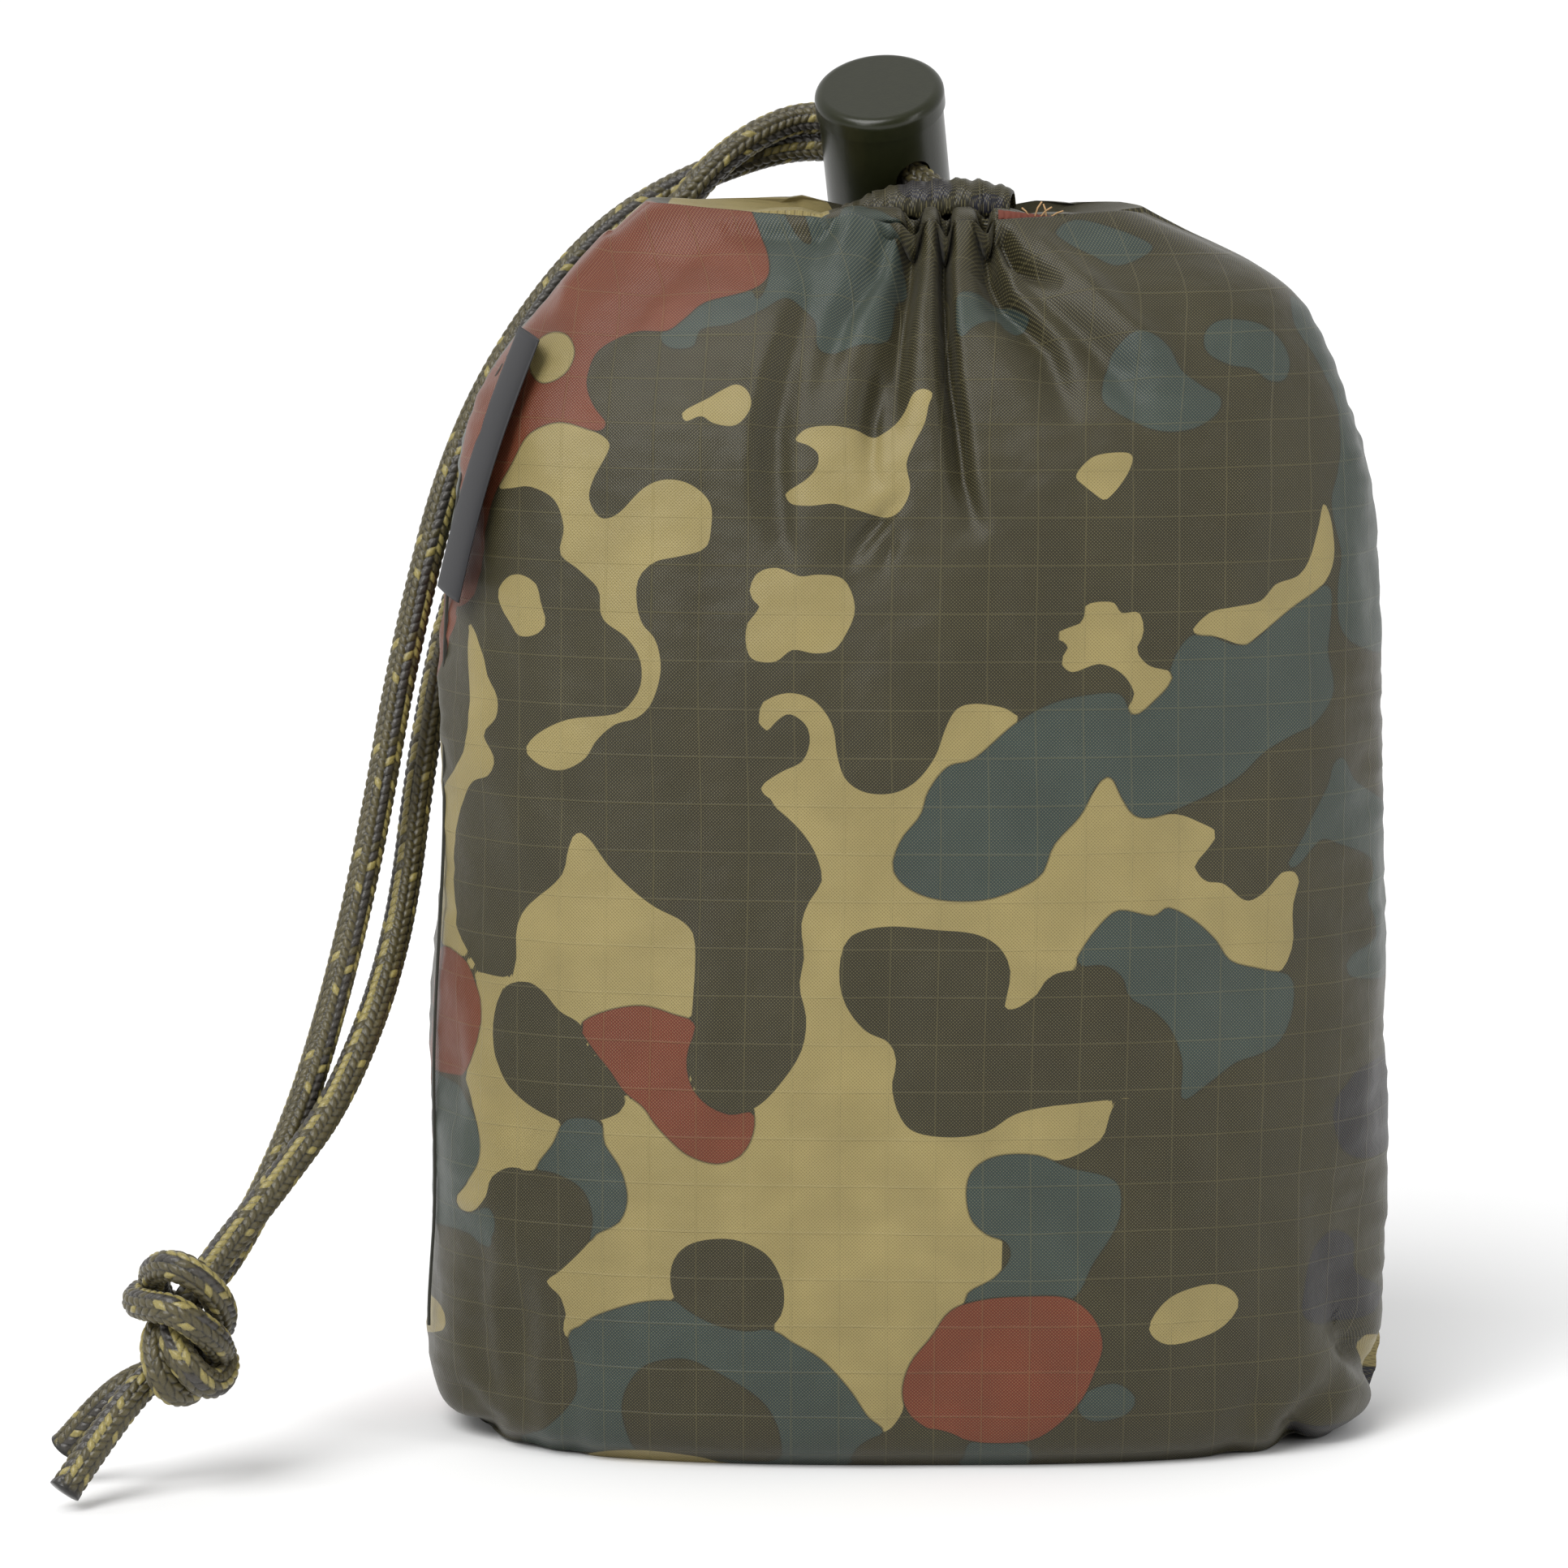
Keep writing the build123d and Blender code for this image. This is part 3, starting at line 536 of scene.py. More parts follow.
        (20.8, 106.9), (23.5, 108), (24, 110.2), (27.3, 110.5), (28.4, 109.1), (31.1, 109.1),
        (31.4, 106.4), (30.5, 104.2), (32.1, 102.1), (35.4, 101.2), (34.8, 99.4), (33.2, 97.8),
        (31.1, 95.6), (29.4, 96.1), (30.3, 98.3), (28.9, 101), (25.7, 102.3), (21.9, 101.2),
        (20.8, 102.6), (21.3, 104.8), (19.5, 105.9),
    ]),
    ("tan", [
        (38.1, 106.4), (40.2, 109.1), (43.5, 109.9), (47.3, 110.7), (49.4, 112.9), (52.1, 114),
        (53.8, 116.1), (54.5, 119.4), (55.6, 123.7), (56.5, 120.5), (56.5, 116.1), (55.4, 112.9),
        (52.1, 110.2), (50, 108.6), (46.7, 105.9), (44.6, 104.8), (41.3, 105.9),
    ]),
    ("tan", [
        (32.5, 13.4), (33.2, 16.1), (35.9, 18.3), (40.2, 19.6), (43.5, 18.8), (44.1, 16.7),
        (42.4, 14), (39.2, 12.4), (34.8, 11.6),
    ]),
    ("tan", [
        (-43, -3.5), (-38.7, -2.5), (-33.3, -2.7), (-27.9, -3.4), (-23.5, -4.2), (-12.7, -4.7),
        (-1.9, -4.5), (-1.9, -5.6), (-23.5, -6), (-40.8, -5.2),
    ]),
    ("tan", [
        (62.1, 12.4), (63.5, 12.9), (65.1, 10.2), (64.9, 6.9), (63, 8),
    ]),
    ("tan", [
        (-64.8, 17.8), (-62.5, 16.7), (-62.2, 13.4), (-64.8, 12.4),
    ]),
    ("olive", [
        (-7.3, -2.8), (-4.6, -0.8), (-0.8, 0.1), (4, 0.1), (7.3, -1.2), (7.8, -2.8), (5.7, -4.4),
        (-6.2, -4.7),
    ]),
    ("navy", [
        (58.1, 45.9), (60.8, 49.1), (64.6, 50.2), (65.7, 45.9), (65.1, 39.4), (61.9, 36.7),
        (58.6, 37.2), (57, 39.9), (57, 43.7),
    ]),
    ("navy", [
        (53.2, 18.8), (54.8, 23.7), (57.5, 26.6), (60.2, 25.3), (61, 21), (63, 18.8),
        (61.9, 15.6), (57.5, 14), (53.4, 15.1),
    ]),
    ("navy", [
        (51.1, -1.5), (56.5, 0.8), (60.8, 2.4), (63.5, 6.9), (65.1, 5.3), (62.4, -0.6), (56.5, -2.8),
    ]),
]

# folds on the front, in mm: x, height, depth, width on each side
CREASES = [
    [
        (1, 168, 2.6, 0.9, 0.9), (1, 162.4, 3, 0.9, 1.2), (0.4, 155.1, 3.4, 1.2, 2.4),
        (-0.5, 147.9, 3, 1.2, 3),
        (-1.3, 140.8, 2, 1.5, 3.2), (-2.1, 135.1, 0.9, 2, 3), (-3, 129.7, 0, 2, 3),
    ],
    [
        (5.1, 168, 3.2, 0.7, 0.7), (5.1, 162.4, 3.6, 0.7, 0.7), (5, 155.1, 4, 0.8, 0.9),
        (5.3, 147.9, 3.8, 0.9, 1.2),
        (5.9, 140.8, 3.2, 0.9, 1.5), (7, 133.7, 2.4, 0.9, 1.9), (7.7, 126.9, 1.6, 1, 2),
        (8.9, 121.5, 0.6, 1.4, 2), (10.8, 119.2, 0, 1.5, 1.5),
    ],
    [
        (10.1, 168, 2.4, 0.7, 0.7), (10.3, 162.4, 2.6, 0.7, 0.8), (11.3, 155.6, 3.2, 0.9, 2.2),
        (12.9, 151.8, 3.2, 1.1, 3),
        (15.8, 148.4, 2.6, 1.4, 3.2), (18.8, 144.2, 1.6, 2, 3.2), (20.6, 138.8, 0.8, 2, 3),
        (22.4, 133.4, 0, 2, 3),
    ],
    [
        (12.8, 159.4, 1.6, 0.9, 0.9), (14.3, 156.8, 2.2, 1, 1), (17.1, 154.8, 1.2, 1, 1),
        (20.8, 152.7, 0, 1, 1),
    ],
    [
        (-10.3, 159.4, 0.6, 1.8, 1.8), (-12.7, 154, 1.1, 2.4, 2.4), (-16.4, 142.9, 1.3, 2.8, 2.8),
        (-18.1, 133.7, 1.2, 2.4, 3.4), (-17.4, 125.9, 0.9, 2, 3), (-16.6, 119.4, 0.5, 1.5, 2.5),
        (-14.9, 114, 0, 2, 2),
    ],
    [
        (-2.3, 160.5, 0.8, 1.2, 1.4), (-4.1, 155.1, 1.2, 1.4, 1.8), (-8.4, 148.4, 1, 1.6, 2),
        (-11, 141, 0.5, 2, 2), (-12.7, 134.5, 0, 2, 2),
    ],
    [
        (-3.6, 139.9, 0.5, 1, 1.2), (-4.5, 134.5, 0.9, 1, 1.6), (-4.7, 129.1, 0.4, 1.2, 1.6),
        (-4.1, 124.8, 0, 1, 1),
    ],
    [
        (-0.6, 124.6, 0.2, 1, 1.4), (-3.4, 121.4, 0.9, 1, 1.5), (-6.2, 118.1, 0.7, 1, 1.5),
        (-8.4, 115.1, 0, 1, 1),
    ],
    [
        (-1.3, 119.9, 0.2, 0.8, 1), (-2.3, 117.2, 0.5, 0.8, 1.2), (-3.6, 114.2, 0, 1, 1),
    ],
    [
        (-7.3, 161.3, -0.5, 1.6, 1.6), (-13.8, 152.4, -0.8, 2.4, 2.4), (-18.7, 141, -0.9, 2.8, 2.6),
        (-21.2, 130.2, -0.5, 2.5, 2.5), (-21.9, 121.5, 0, 2, 2),
    ],
    [
        (18.1, 158.3, -0.3, 1.4, 1.6), (24, 152.9, -0.7, 2, 2.2), (32.7, 144.2, -0.6, 2.6, 2.6),
        (39.2, 134.5, 0, 3, 3),
    ],
    [
        (15.6, 153.4, 0.4, 1.2, 1.4), (21.9, 148, 0.8, 1.6, 2), (28.4, 141, 0.6, 2, 2.4),
        (32.7, 133.4, 0, 2, 2),
    ],
    [
        (-23.5, 159.2, 0.2, 1.2, 1.4), (-17.6, 159, 0.5, 1.2, 1.5), (-12.1, 159.4, 0.5, 1.2, 1.6),
        (-8.4, 160.9, 0, 1, 1),
    ],
    [
        (-40.3, 158.3, -0.4, 1.2, 2), (-45.2, 152.9, -0.5, 1.5, 2), (-48.4, 147.5, 0, 1.5, 2),
    ],
    [
        (-26.8, 158.3, 0.2, 2, 3), (-34.3, 151.8, 0.3, 2, 3), (-40.8, 144.2, 0.2, 2, 3),
        (-45.2, 136.7, 0, 2, 3),
    ],
    [
        (-51, 24.2, 0, 2.5, 3), (-51.9, 15.6, 0.6, 2.5, 3), (-52.5, 6.9, 0.8, 2.5, 3),
        (-50, -2.8, 0.3, 2.5, 3),
    ],
    [
        (-56.4, 30.7, 0, 2, 2.5), (-57.5, 17.8, 0.5, 2, 2.5), (-56.8, 6.9, 0.7, 2, 2.5),
        (-54.9, -0.6, 0.2, 2, 2.5),
    ],
    [
        (-43.9, 17.8, 0, 2, 2.5), (-45.2, 8, 0.5, 2, 2.5), (-44.5, -2.8, 0.2, 2, 2.5),
    ],
    [
        (59.9, 13.4, 1, 1.6, 2.2), (61.3, 10.7, 2.6, 1.8, 2.4), (62.7, 8, 1.2, 1.6, 2),
    ],
    [
        (58.1, 6.9, 0.2, 1.6, 2), (54.5, 2.4, 1.1, 1.6, 2.2), (52.1, -0.4, 1.6, 1.6, 2.2),
        (51.1, -2.8, 0.8, 1.6, 2.2),
    ],
    [
        (59.1, 36.1, 0, 2.2, 2.6), (59.7, 25.3, 0.6, 2.2, 2.6), (59.1, 15.6, 0.8, 2.2, 2.6),
        (57.5, 6.9, 0.2, 2.2, 2.6),
    ],
    [
        (53.4, 43.7, 0, 2.6, 3), (55.6, 28.6, 0.4, 2.6, 3), (56.5, 15.6, 0.5, 2.6, 3),
        (55.4, 6.9, 0, 2.6, 3),
    ],
    [
        (47.8, 6.9, 0, 2, 3), (46.2, 2.6, 0.4, 2, 3), (43.5, -2.2, 0.3, 2, 3),
    ],
    [
        (-61.9, 8, 0.2, 1.6, 2), (-59.2, 3.7, 0.8, 1.6, 2), (-56, -0.1, 0.6, 1.6, 2),
    ],
    [
        (-60.3, 57.8, 0, 1.2, 2), (-60.7, 46.9, 0.5, 1.4, 2.2), (-60.3, 36.1, 0, 1.5, 2.2),
    ],
]

# ---------------------------------------------------------------- sack surface
# z, left edge, right edge, half depth, centre y of each level, in mm, as in the CAD
LEVELS = np.array([
    (0.0, -58.0, 58.0, 27.5, 0.0), (6.0, -63.4, 63.4, 32.0, 0.0), (28.0, -64.0, 64.0, 34.0, 0.0),
    (50.0, -63.8, 63.9, 34.0, 0.0), (82.0, -62.2, 63.5, 33.5, 0.0), (103.0, -62.0, 62.7, 32.5, -0.3),
    (125.0, -60.1, 61.5, 29.0, -1.2), (136.0, -57.4, 58.8, 25.5, -2.0), (147.0, -51.0, 54.0, 20.0, -3.0),
    (153.0, -46.0, 49.6, 16.0, -3.0), (158.0, -41.0, 41.5, 11.5, -2.5), (162.0, -34.6, 31.0, 8.0, -2.0),
])
POWER = 2.6
COLS = 640
NECK = np.array([2.0, -2.0])


def level_at(position):
    """Catmull-Rom through the levels; position counts levels."""
    i = int(min(max(math.floor(position), 0), len(LEVELS) - 2))
    f = position - i
    p1, p2 = LEVELS[i], LEVELS[i + 1]
    p0 = LEVELS[i - 1] if i > 0 else 2 * p1 - p2
    p3 = LEVELS[i + 2] if i + 2 < len(LEVELS) else 2 * p2 - p1
    return 0.5 * (2 * p1 + (p2 - p0) * f + (2 * p0 - 5 * p1 + 4 * p2 - p3) * f * f
                  + (3 * p1 - p0 - 3 * p2 + p3) * f ** 3)


def even_ring(points):
    """COLS points spaced evenly by arc length along a closed ring that starts at the front."""
    closed = np.vstack([points, points[:1]])
    lengths = np.concatenate([[0], np.cumsum(np.linalg.norm(np.diff(closed, axis=0), axis=1))])
    where = np.linspace(0, lengths[-1], COLS, endpoint=False)
    ring = np.stack([np.interp(where, lengths, closed[:, k]) for k in range(2)], axis=1)
    return ring, lengths[-1]


def section(left, right, depth, center_y):
    angle = np.linspace(-math.pi / 2, 1.5 * math.pi, 1440, endpoint=False)
    x = np.sign(np.cos(angle)) * abs(np.cos(angle)) ** (2 / POWER) * (right - left) / 2
    y = np.sign(np.sin(angle)) * abs(np.sin(angle)) ** (2 / POWER) * depth
    return even_ring(np.stack([x + (left + right) / 2, y + center_y], axis=1))


def stadium(half_straight, radius):
    angle = np.linspace(-math.pi / 2, 1.5 * math.pi, 1440, endpoint=False)
    x = radius * np.cos(angle) + half_straight * np.clip(np.cos(angle) * 4, -1, 1)
    y = radius * np.sin(angle)
    return even_ring(np.stack([x + NECK[0], y + NECK[1]], axis=1))


rows_xyz, rows_around, rows_up = [], [], []


def add_row(ring, z, around, up):
    heights = np.broadcast_to(z, (COLS,))
    rows_xyz.append(np.column_stack([ring, heights]))
    rows_around.append(around)
    rows_up.append(up)


base_ring, base_around = section(*LEVELS[0][1:])
for k in range(14):
    f = (k + 0.5) / 14
    add_row(base_ring * f, 0.0, base_around * f, -27.5 * (1 - f))
up = 0.0
previous = None
for k in range(251):
    level = level_at(k / 250 * (len(LEVELS) - 1))
    ring, around = section(*level[1:])
    if previous is not None:
        up += math.hypot(level[0] - previous[0], level[3] - previous[3])
    add_row(ring, max(level[0], 0.0), around, up)
    previous = level
top_ring, top_around = ring, around
neck_ring, neck_around = stadium(7.6, 6.4)
for k in range(1, 31):
    f = k / 30
    ring = top_ring * (1 - f) + neck_ring * f
    dip = 1.3 * math.sin(math.pi * f) ** 1.2
    add_row(ring, 162.0 - dip - 0.4 * f, top_around * (1 - f) + neck_around * f, up + 9 * f)
for k in range(1, 13):
    f = k / 12
    ring, around = stadium(7.6 - 0.6 * f, 6.4 - 5.0 * (1 - math.cos(f * math.pi / 2)))
    add_row(ring, 161.6 + 1.7 * math.sin(f * math.pi / 2), around, up + 9 + 4 * f)
for k in range(1, 9):
    f = k / 8
    ring, around = stadium(7.0, 1.4 - 0.9 * f)
    add_row(ring, 163.3 - 9 * f, around, up + 13 + 9 * f)

ROWS = len(rows_xyz)
surface = np.array(rows_xyz)
around = np.array(rows_around)
cloth_t = np.repeat(np.array(rows_up)[:, None], COLS, axis=1)
fraction = np.arange(COLS) / COLS
fraction = np.where(fraction > 0.5, fraction - 1, fraction)
cloth_s = around[:, None] * fraction[None, :]


def surface_normals(grid):
    du = np.roll(grid, -1, axis=1) - np.roll(grid, 1, axis=1)
    dv = np.gradient(grid, axis=0)
    normal = np.cross(du, dv)
    size = np.linalg.norm(normal, axis=2, keepdims=True)
    return normal / np.maximum(size, 1e-9)


normals = surface_normals(surface)
flat_view = front_view(surface.reshape(-1, 3))
view_x = flat_view[:, 0].reshape(ROWS, COLS)
view_h = flat_view[:, 1].reshape(ROWS, COLS)
front_side = (surface[:, :, 1] < np.interp(surface[:, :, 2], LEVELS[:, 0], LEVELS[:, 4]) + 0.5)


def crease(points, x, h):
    """Depth in mm of a fold through points of x, height, depth, right and left width; a ridge is negative."""
    best = np.full(x.shape, 1e9)
    depth = np.zeros(x.shape)
    for (x0, h0, d0, l0, r0), (x1, h1, d1, l1, r1) in zip(points[:-1], points[1:]):
        run = np.array([x1 - x0, h1 - h0])
        size = run.dot(run)
        f = ((x - x0) * run[0] + (h - h0) * run[1]) / size
        g = np.clip(f, 0, 1)
        dx = x - x0 - g * run[0]
        dh = h - h0 - g * run[1]
        gap = np.hypot(dx, dh)
        left = dx * run[1] - dh * run[0] > 0
        width = np.where(left, l0 + (l1 - l0) * g, r0 + (r1 - r0) * g)
        value = (d0 + (d1 - d0) * g) * np.exp(-(gap / width) ** 2)
        closer = gap < best
        depth = np.where(closer, value, depth)
        best = np.minimum(best, gap)
    return depth


def deepened(fold_depth):
    """Shallow folds about doubled and deep ones held back."""
    return fold_depth * 2.1 / (1 + 0.17 * abs(fold_depth))


depth = np.zeros((ROWS, COLS))
for points in CREASES:
    run = [(x, h, deepened(d), r, l) for x, h, d, l, r in points]
    depth += crease(run, view_x, view_h) * front_side
# gathers round the back and the sides of the neck, which the front folds replace
theta = np.arctan2(surface[:, :, 1] - NECK[1], surface[:, :, 0] - NECK[0])
reach = np.clip((cloth_t - 150) / 32, 0, 1)
from_front = np.clip((np.cos((theta + math.pi / 2)) * -1 + 0.55) / 0.8, 0, 1)
pleat = np.abs(np.sin(theta * 8 + 0.6 * np.sin(theta * 3 + 1))) ** 0.7
depth += (1 - pleat) * 1.5 * reach ** 1.5 * from_front * (cloth_t < up + 16)
# soft stuffing lumps and fine slack wrinkles
free = np.clip(surface[:, :, 2] / 8, 0, 1) * np.clip((up + 2 - cloth_t) / 20, 0, 1)
depth += free * (0.55 * waves(cloth_s, cloth_t, 42, 3) + 0.28 * waves(cloth_s, cloth_t * 0.6, 13, 4))
depth += free * 0.07 * waves(cloth_s * 0.5, cloth_t * 1.6, 4.0, 6)
# puckers beside the side seams
edge = np.minimum(abs(view_x + 60), abs(view_x - 62))
pucker = np.exp(-(edge / 5.0) ** 2) * free
depth += pucker * 0.22 * waves(cloth_s * 0.15, cloth_t, 3.2, 8)
displaced = surface - normals * depth[:, :, None]
# the top edge stands up a little at both shoulders and dips beside the neck
LIFT_X = (-41, -34, -28, -20, -14, -10, -6, 12, 17, 22, 28, 33, 41)
LIFT_FRONT = (0.6, 2.3, 1.7, 0.9, 0.6, 0.3, 0.0, 0.0, 0.3, 0.8, 1.0, 0.5, 0.0)
LIFT_BACK = (0.6, 2.3, 1.9, 2.3, 2.7, 1.4, 0.4, 0.6, 1.8, 2.0, 1.7, 0.9, 0.0)
for rows_front, table in ((True, LIFT_FRONT), (False, LIFT_BACK)):
    side = front_side == rows_front
    lift = np.interp(surface[:, :, 0], LIFT_X, table)
    rise = np.clip((surface[:, :, 2] - 156.5) / 5.0, 0, 1) * np.clip((up + 11 - cloth_t) / 5, 0, 1)
    displaced[:, :, 2] += lift * rise * rise * (3 - 2 * rise) * side
displaced[:, :, 2] = np.maximum(displaced[:, :, 2], 0.0)


# ---------------------------------------------------------------- camouflage
def smooth_outline(points, steps=4):
    points = np.asarray(points, dtype=float)
    result = []
    count = len(points)
    for i in range(count):
        p0, p1, p2, p3 = (points[(i + k - 1) % count] for k in range(4))
        for j in range(steps):
            f = j / steps
            result.append(0.5 * (2 * p1 + (p2 - p0) * f + (2 * p0 - 5 * p1 + 4 * p2 - p3) * f * f
                                 + (3 * p1 - p0 - 3 * p2 + p3) * f ** 3))
    return np.array(result)


front_rows = slice(14, 14 + 251 + 30)
pick = front_side[front_rows]
known_view = np.column_stack([view_x[front_rows][pick], view_h[front_rows][pick]])
known_cloth = np.column_stack([cloth_s[front_rows][pick], cloth_t[front_rows][pick]])


def to_cloth(points):
    """Picture-plane outline to cloth coordinates on the front; outside the edge it runs on round the side."""
    result = []
    for x, h in points:
        gap = (known_view[:, 0] - x) ** 2 + (known_view[:, 1] - h) ** 2
        k = int(np.argmin(gap))
        s, t = known_cloth[k]
        beyond = x - known_view[k, 0]
        if abs(beyond) > 0.5:
            s += beyond * 7
        t += h - known_view[k, 1] + 3 * min(max(h - 159.5, 0), 3)
        result.append((s, t))
    return np.array(result)


def outline_field(outline, s, t, reach=3.0):
    """Distance in mm inside an outline, negative outside, limited to reach."""
    field = np.full(s.shape, -reach)
    low, high = outline.min(axis=0) - reach, outline.max(axis=0) + reach
    near = (s > low[0]) & (s < high[0]) & (t > low[1]) & (t < high[1])
    ps, pt = s[near], t[near]
    best = np.full(ps.shape, 1e9)
    inside = np.zeros(ps.shape, dtype=bool)
    for (s0, t0), (s1, t1) in zip(outline, np.roll(outline, -1, axis=0)):
        ds, dt = s1 - s0, t1 - t0
        size = max(ds * ds + dt * dt, 1e-9)
        f = np.clip(((ps - s0) * ds + (pt - t0) * dt) / size, 0, 1)
        best = np.minimum(best, (ps - s0 - f * ds) ** 2 + (pt - t0 - f * dt) ** 2)
        if dt != 0:
            crosses = ((t0 > pt) != (t1 > pt)) & (ps < s0 + (pt - t0) * ds / dt)
            inside ^= crosses
    gap = np.minimum(np.sqrt(best), reach)
    field[near] = np.where(inside, gap, -gap)
    return field


COLOURS = ("tan", "slate", "rust", "navy")
cloth_patches = [(colour, smooth_outline(to_cloth(points))) for colour, points in PATCHES]


def paint(patches, s, t):
    fields = {c: np.full(s.shape, -3.0) for c in COLOURS}
    for colour, outline in patches:
        field = outline_field(outline, s, t)
        for c in COLOURS:
            if c == colour:
                fields[c] = np.maximum(fields[c], field)
            else:
                fields[c] = np.minimum(fields[c], -field)
    return np.stack([0.5 + fields[c] / 6 for c in COLOURS], axis=-1)


s_flat, t_flat = cloth_s.ravel(), cloth_t.ravel()
front_paint = paint(cloth_patches, s_flat, t_flat)
half_around = np.repeat(around[:, None], COLS, axis=1).ravel() / 2
back_s = np.where(s_flat > 0, s_flat - half_around, s_flat + half_around)
back_paint = paint(cloth_patches, -back_s * 0.95 + 6, 168 - t_flat)

# what shows of the back above the front's top edge: tan on the left, navy on the right
flat_x = surface[:, :, 0].ravel()
for channel, middle, reach_x in ((0, -21.0, 11.5), (3, 27.0, 13.0)):
    away = np.hypot((flat_x - middle) / reach_x, (t_flat - 176) / 12)
    field = np.clip((1 - away) * 11, -3, 3) / 6
    for k in range(4):
        level = back_paint[:, k]
        back_paint[:, k] = np.maximum(level, 0.5 + field) if k == channel else np.minimum(level, 0.5 - field)

# ---------------------------------------------------------------- fabric material
THREAD_PERIOD = 0.44    # mm, over and under
RIPSTOP_PERIOD = 6.2    # mm between the heavier threads
UV_UNIT = 100.0         # mm of cloth in one unit of the UV map
BLACK = (0, 0, 0, 1)
CLOTH_SPECULAR = 0.3
PRINT_OLIVE = srgb(58, 54, 35)
PRINT_OUTLINE = srgb(34, 33, 24)
# pale colour painted on the raised threads as a highlight, in place of light catching the weave
PAINTED_THREAD_HIGHLIGHT = srgb(196, 184, 128)
PRINT_COLOURS = {
    "tan": srgb(180, 163, 106), "slate": srgb(62, 77, 74),
    "rust": srgb(130, 60, 38), "navy": srgb(38, 38, 50),
}


def fabric_material(name):
    """Printed ripstop: the fields in "camo" say how far inside each patch a point lies, 0.5 on its edge."""
    n = Nodes(name)
    uv = n.add("ShaderNodeUVMap")
    uv.uv_map = "cloth"
    xy = n.add("ShaderNodeSeparateXYZ", Vector=uv.outputs[0])
    s = n.math("MULTIPLY", xy.outputs[0], UV_UNIT)
    t = n.math("MULTIPLY", xy.outputs[1], UV_UNIT)
    mottle = n.noise(120, 1.0)
    threads = [n.math("SINE", n.math("MULTIPLY", value, 2 * math.pi / THREAD_PERIOD)) for value in (s, t)]
    weave = n.math("MULTIPLY", *threads)
    lines = []
    for value in (s, t):
        cell = n.math("FRACT", n.math("DIVIDE", value, RIPSTOP_PERIOD))
        lines.append(n.step(n.math("ABSOLUTE", n.math("SUBTRACT", cell, 0.5)), 0.024, 0.012))
    grid = n.math("MAXIMUM", *lines)
    colour = n.add("ShaderNodeVertexColor")
    colour.layer_name = "camo"
    split = n.add("ShaderNodeSeparateColor", Color=colour.outputs["Color"])
    fields = {
        "tan": split.outputs[0], "slate": split.outputs[1],
        "rust": split.outputs[2], "navy": colour.outputs["Alpha"],
    }
    base = PRINT_OLIVE
    for patch, value in PRINT_COLOURS.items():
        base = n.mix(n.step(fields[patch], 0.490, 0.510), base, value)
        if patch != "tan":
            rim = n.math("ABSOLUTE", n.math("SUBTRACT", fields[patch], 0.492))
            base = n.mix(n.math("MULTIPLY", n.step(rim, 0.04, 0.0), 0.6), base, PRINT_OUTLINE)
    # painted highlight: the raised points of the weave are mixed toward a pale glint colour
    painted_highlight = n.mix(0.5, base, PAINTED_THREAD_HIGHLIGHT)
    base = n.mix(n.math("MULTIPLY", n.step(weave, 0.2, 0.9), 0.6), base, painted_highlight)
    # painted shade: the low points of the weave, between the threads, are darkened toward black
    base = n.mix(n.step(weave, -0.1, -0.7), base, n.mix(0.4, base, BLACK))
    # the heavier ripstop threads are lightened with the same painted highlight colour
    base = n.mix(n.math("MULTIPLY", grid, 0.16), base, painted_highlight)
    base = n.mix(n.step(mottle, 0.3, 0.8), n.mix(0.48, base, BLACK), n.mix(0.4, base, BLACK))
    n.put(n.bsdf.inputs["Base Color"], base)
    n.bsdf.inputs["Roughness"].default_value = 0.4
    n.bsdf.inputs["Specular IOR Level"].default_value = CLOTH_SPECULAR
    n.bsdf.inputs["Sheen Weight"].default_value = 0.05
    n.bsdf.inputs["Sheen Roughness"].default_value = 0.45
    height = n.math("ADD", n.math("MULTIPLY", weave, 0.4), grid)
    crumple = n.bump(n.noise(260, 3.0), 0.0006, 0.35)
    n.put(n.bsdf.inputs["Normal"], n.bump(height, 0.00006, 0.9, crumple))
    return n.mat


def add_cloth_uv(obj, s, t):
    layer = obj.data.uv_layers.new(name="cloth")
    loops = np.empty(len(obj.data.loops), dtype=int)
    obj.data.loops.foreach_get("vertex_index", loops)
    values = np.column_stack([s[loops], t[loops]]) / UV_UNIT
    layer.data.foreach_set("uv", values.ravel())


fabric = fabric_material("camouflage_ripstop")
faces = grid_faces(ROWS, COLS)
center = displaced.reshape(-1, 3)[faces].mean(axis=1)
# the left seam wanders: it is furthest forward at mid height
seam_height = [0, 40, 80, 103, 125, 147, 165]
seam_y_left = [-2.0, -2.5, -6.0, -14.5, -11.0, -4.0, -2.0]
seam_y = np.where(center[:, 0] < 0, np.interp(center[:, 2], seam_height, seam_y_left), 9.0)
is_front = center[:, 1] < seam_y
is_front |= (abs(center[:, 0] - NECK[0]) < 17) & (center[:, 2] > 150) & (center[:, 1] < -2)
flat_points = displaced.reshape(-1, 3)
for label, keep, colours, nodes in (
    ("front_cloth", is_front, front_paint,
     ("front_panel", "casing_front", "packed_filling", "side_seam_left")),
    ("back_cloth", ~is_front, back_paint,
     ("back_panel", "casing_back", "side_seam_right", "drawstring_loop")),
):
    own = faces[keep]
    used, index = np.unique(own, return_inverse=True)
    piece = new_piece(label, flat_points[used], index.reshape(-1, 4).tolist())
    attr = piece.data.color_attributes.new("camo", "FLOAT_COLOR", "POINT")
    attr.data.foreach_set("color", colours[used].ravel())
    add_cloth_uv(piece, s_flat[used], t_flat[used])
    piece.data.materials.append(fabric)
    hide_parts(*nodes)

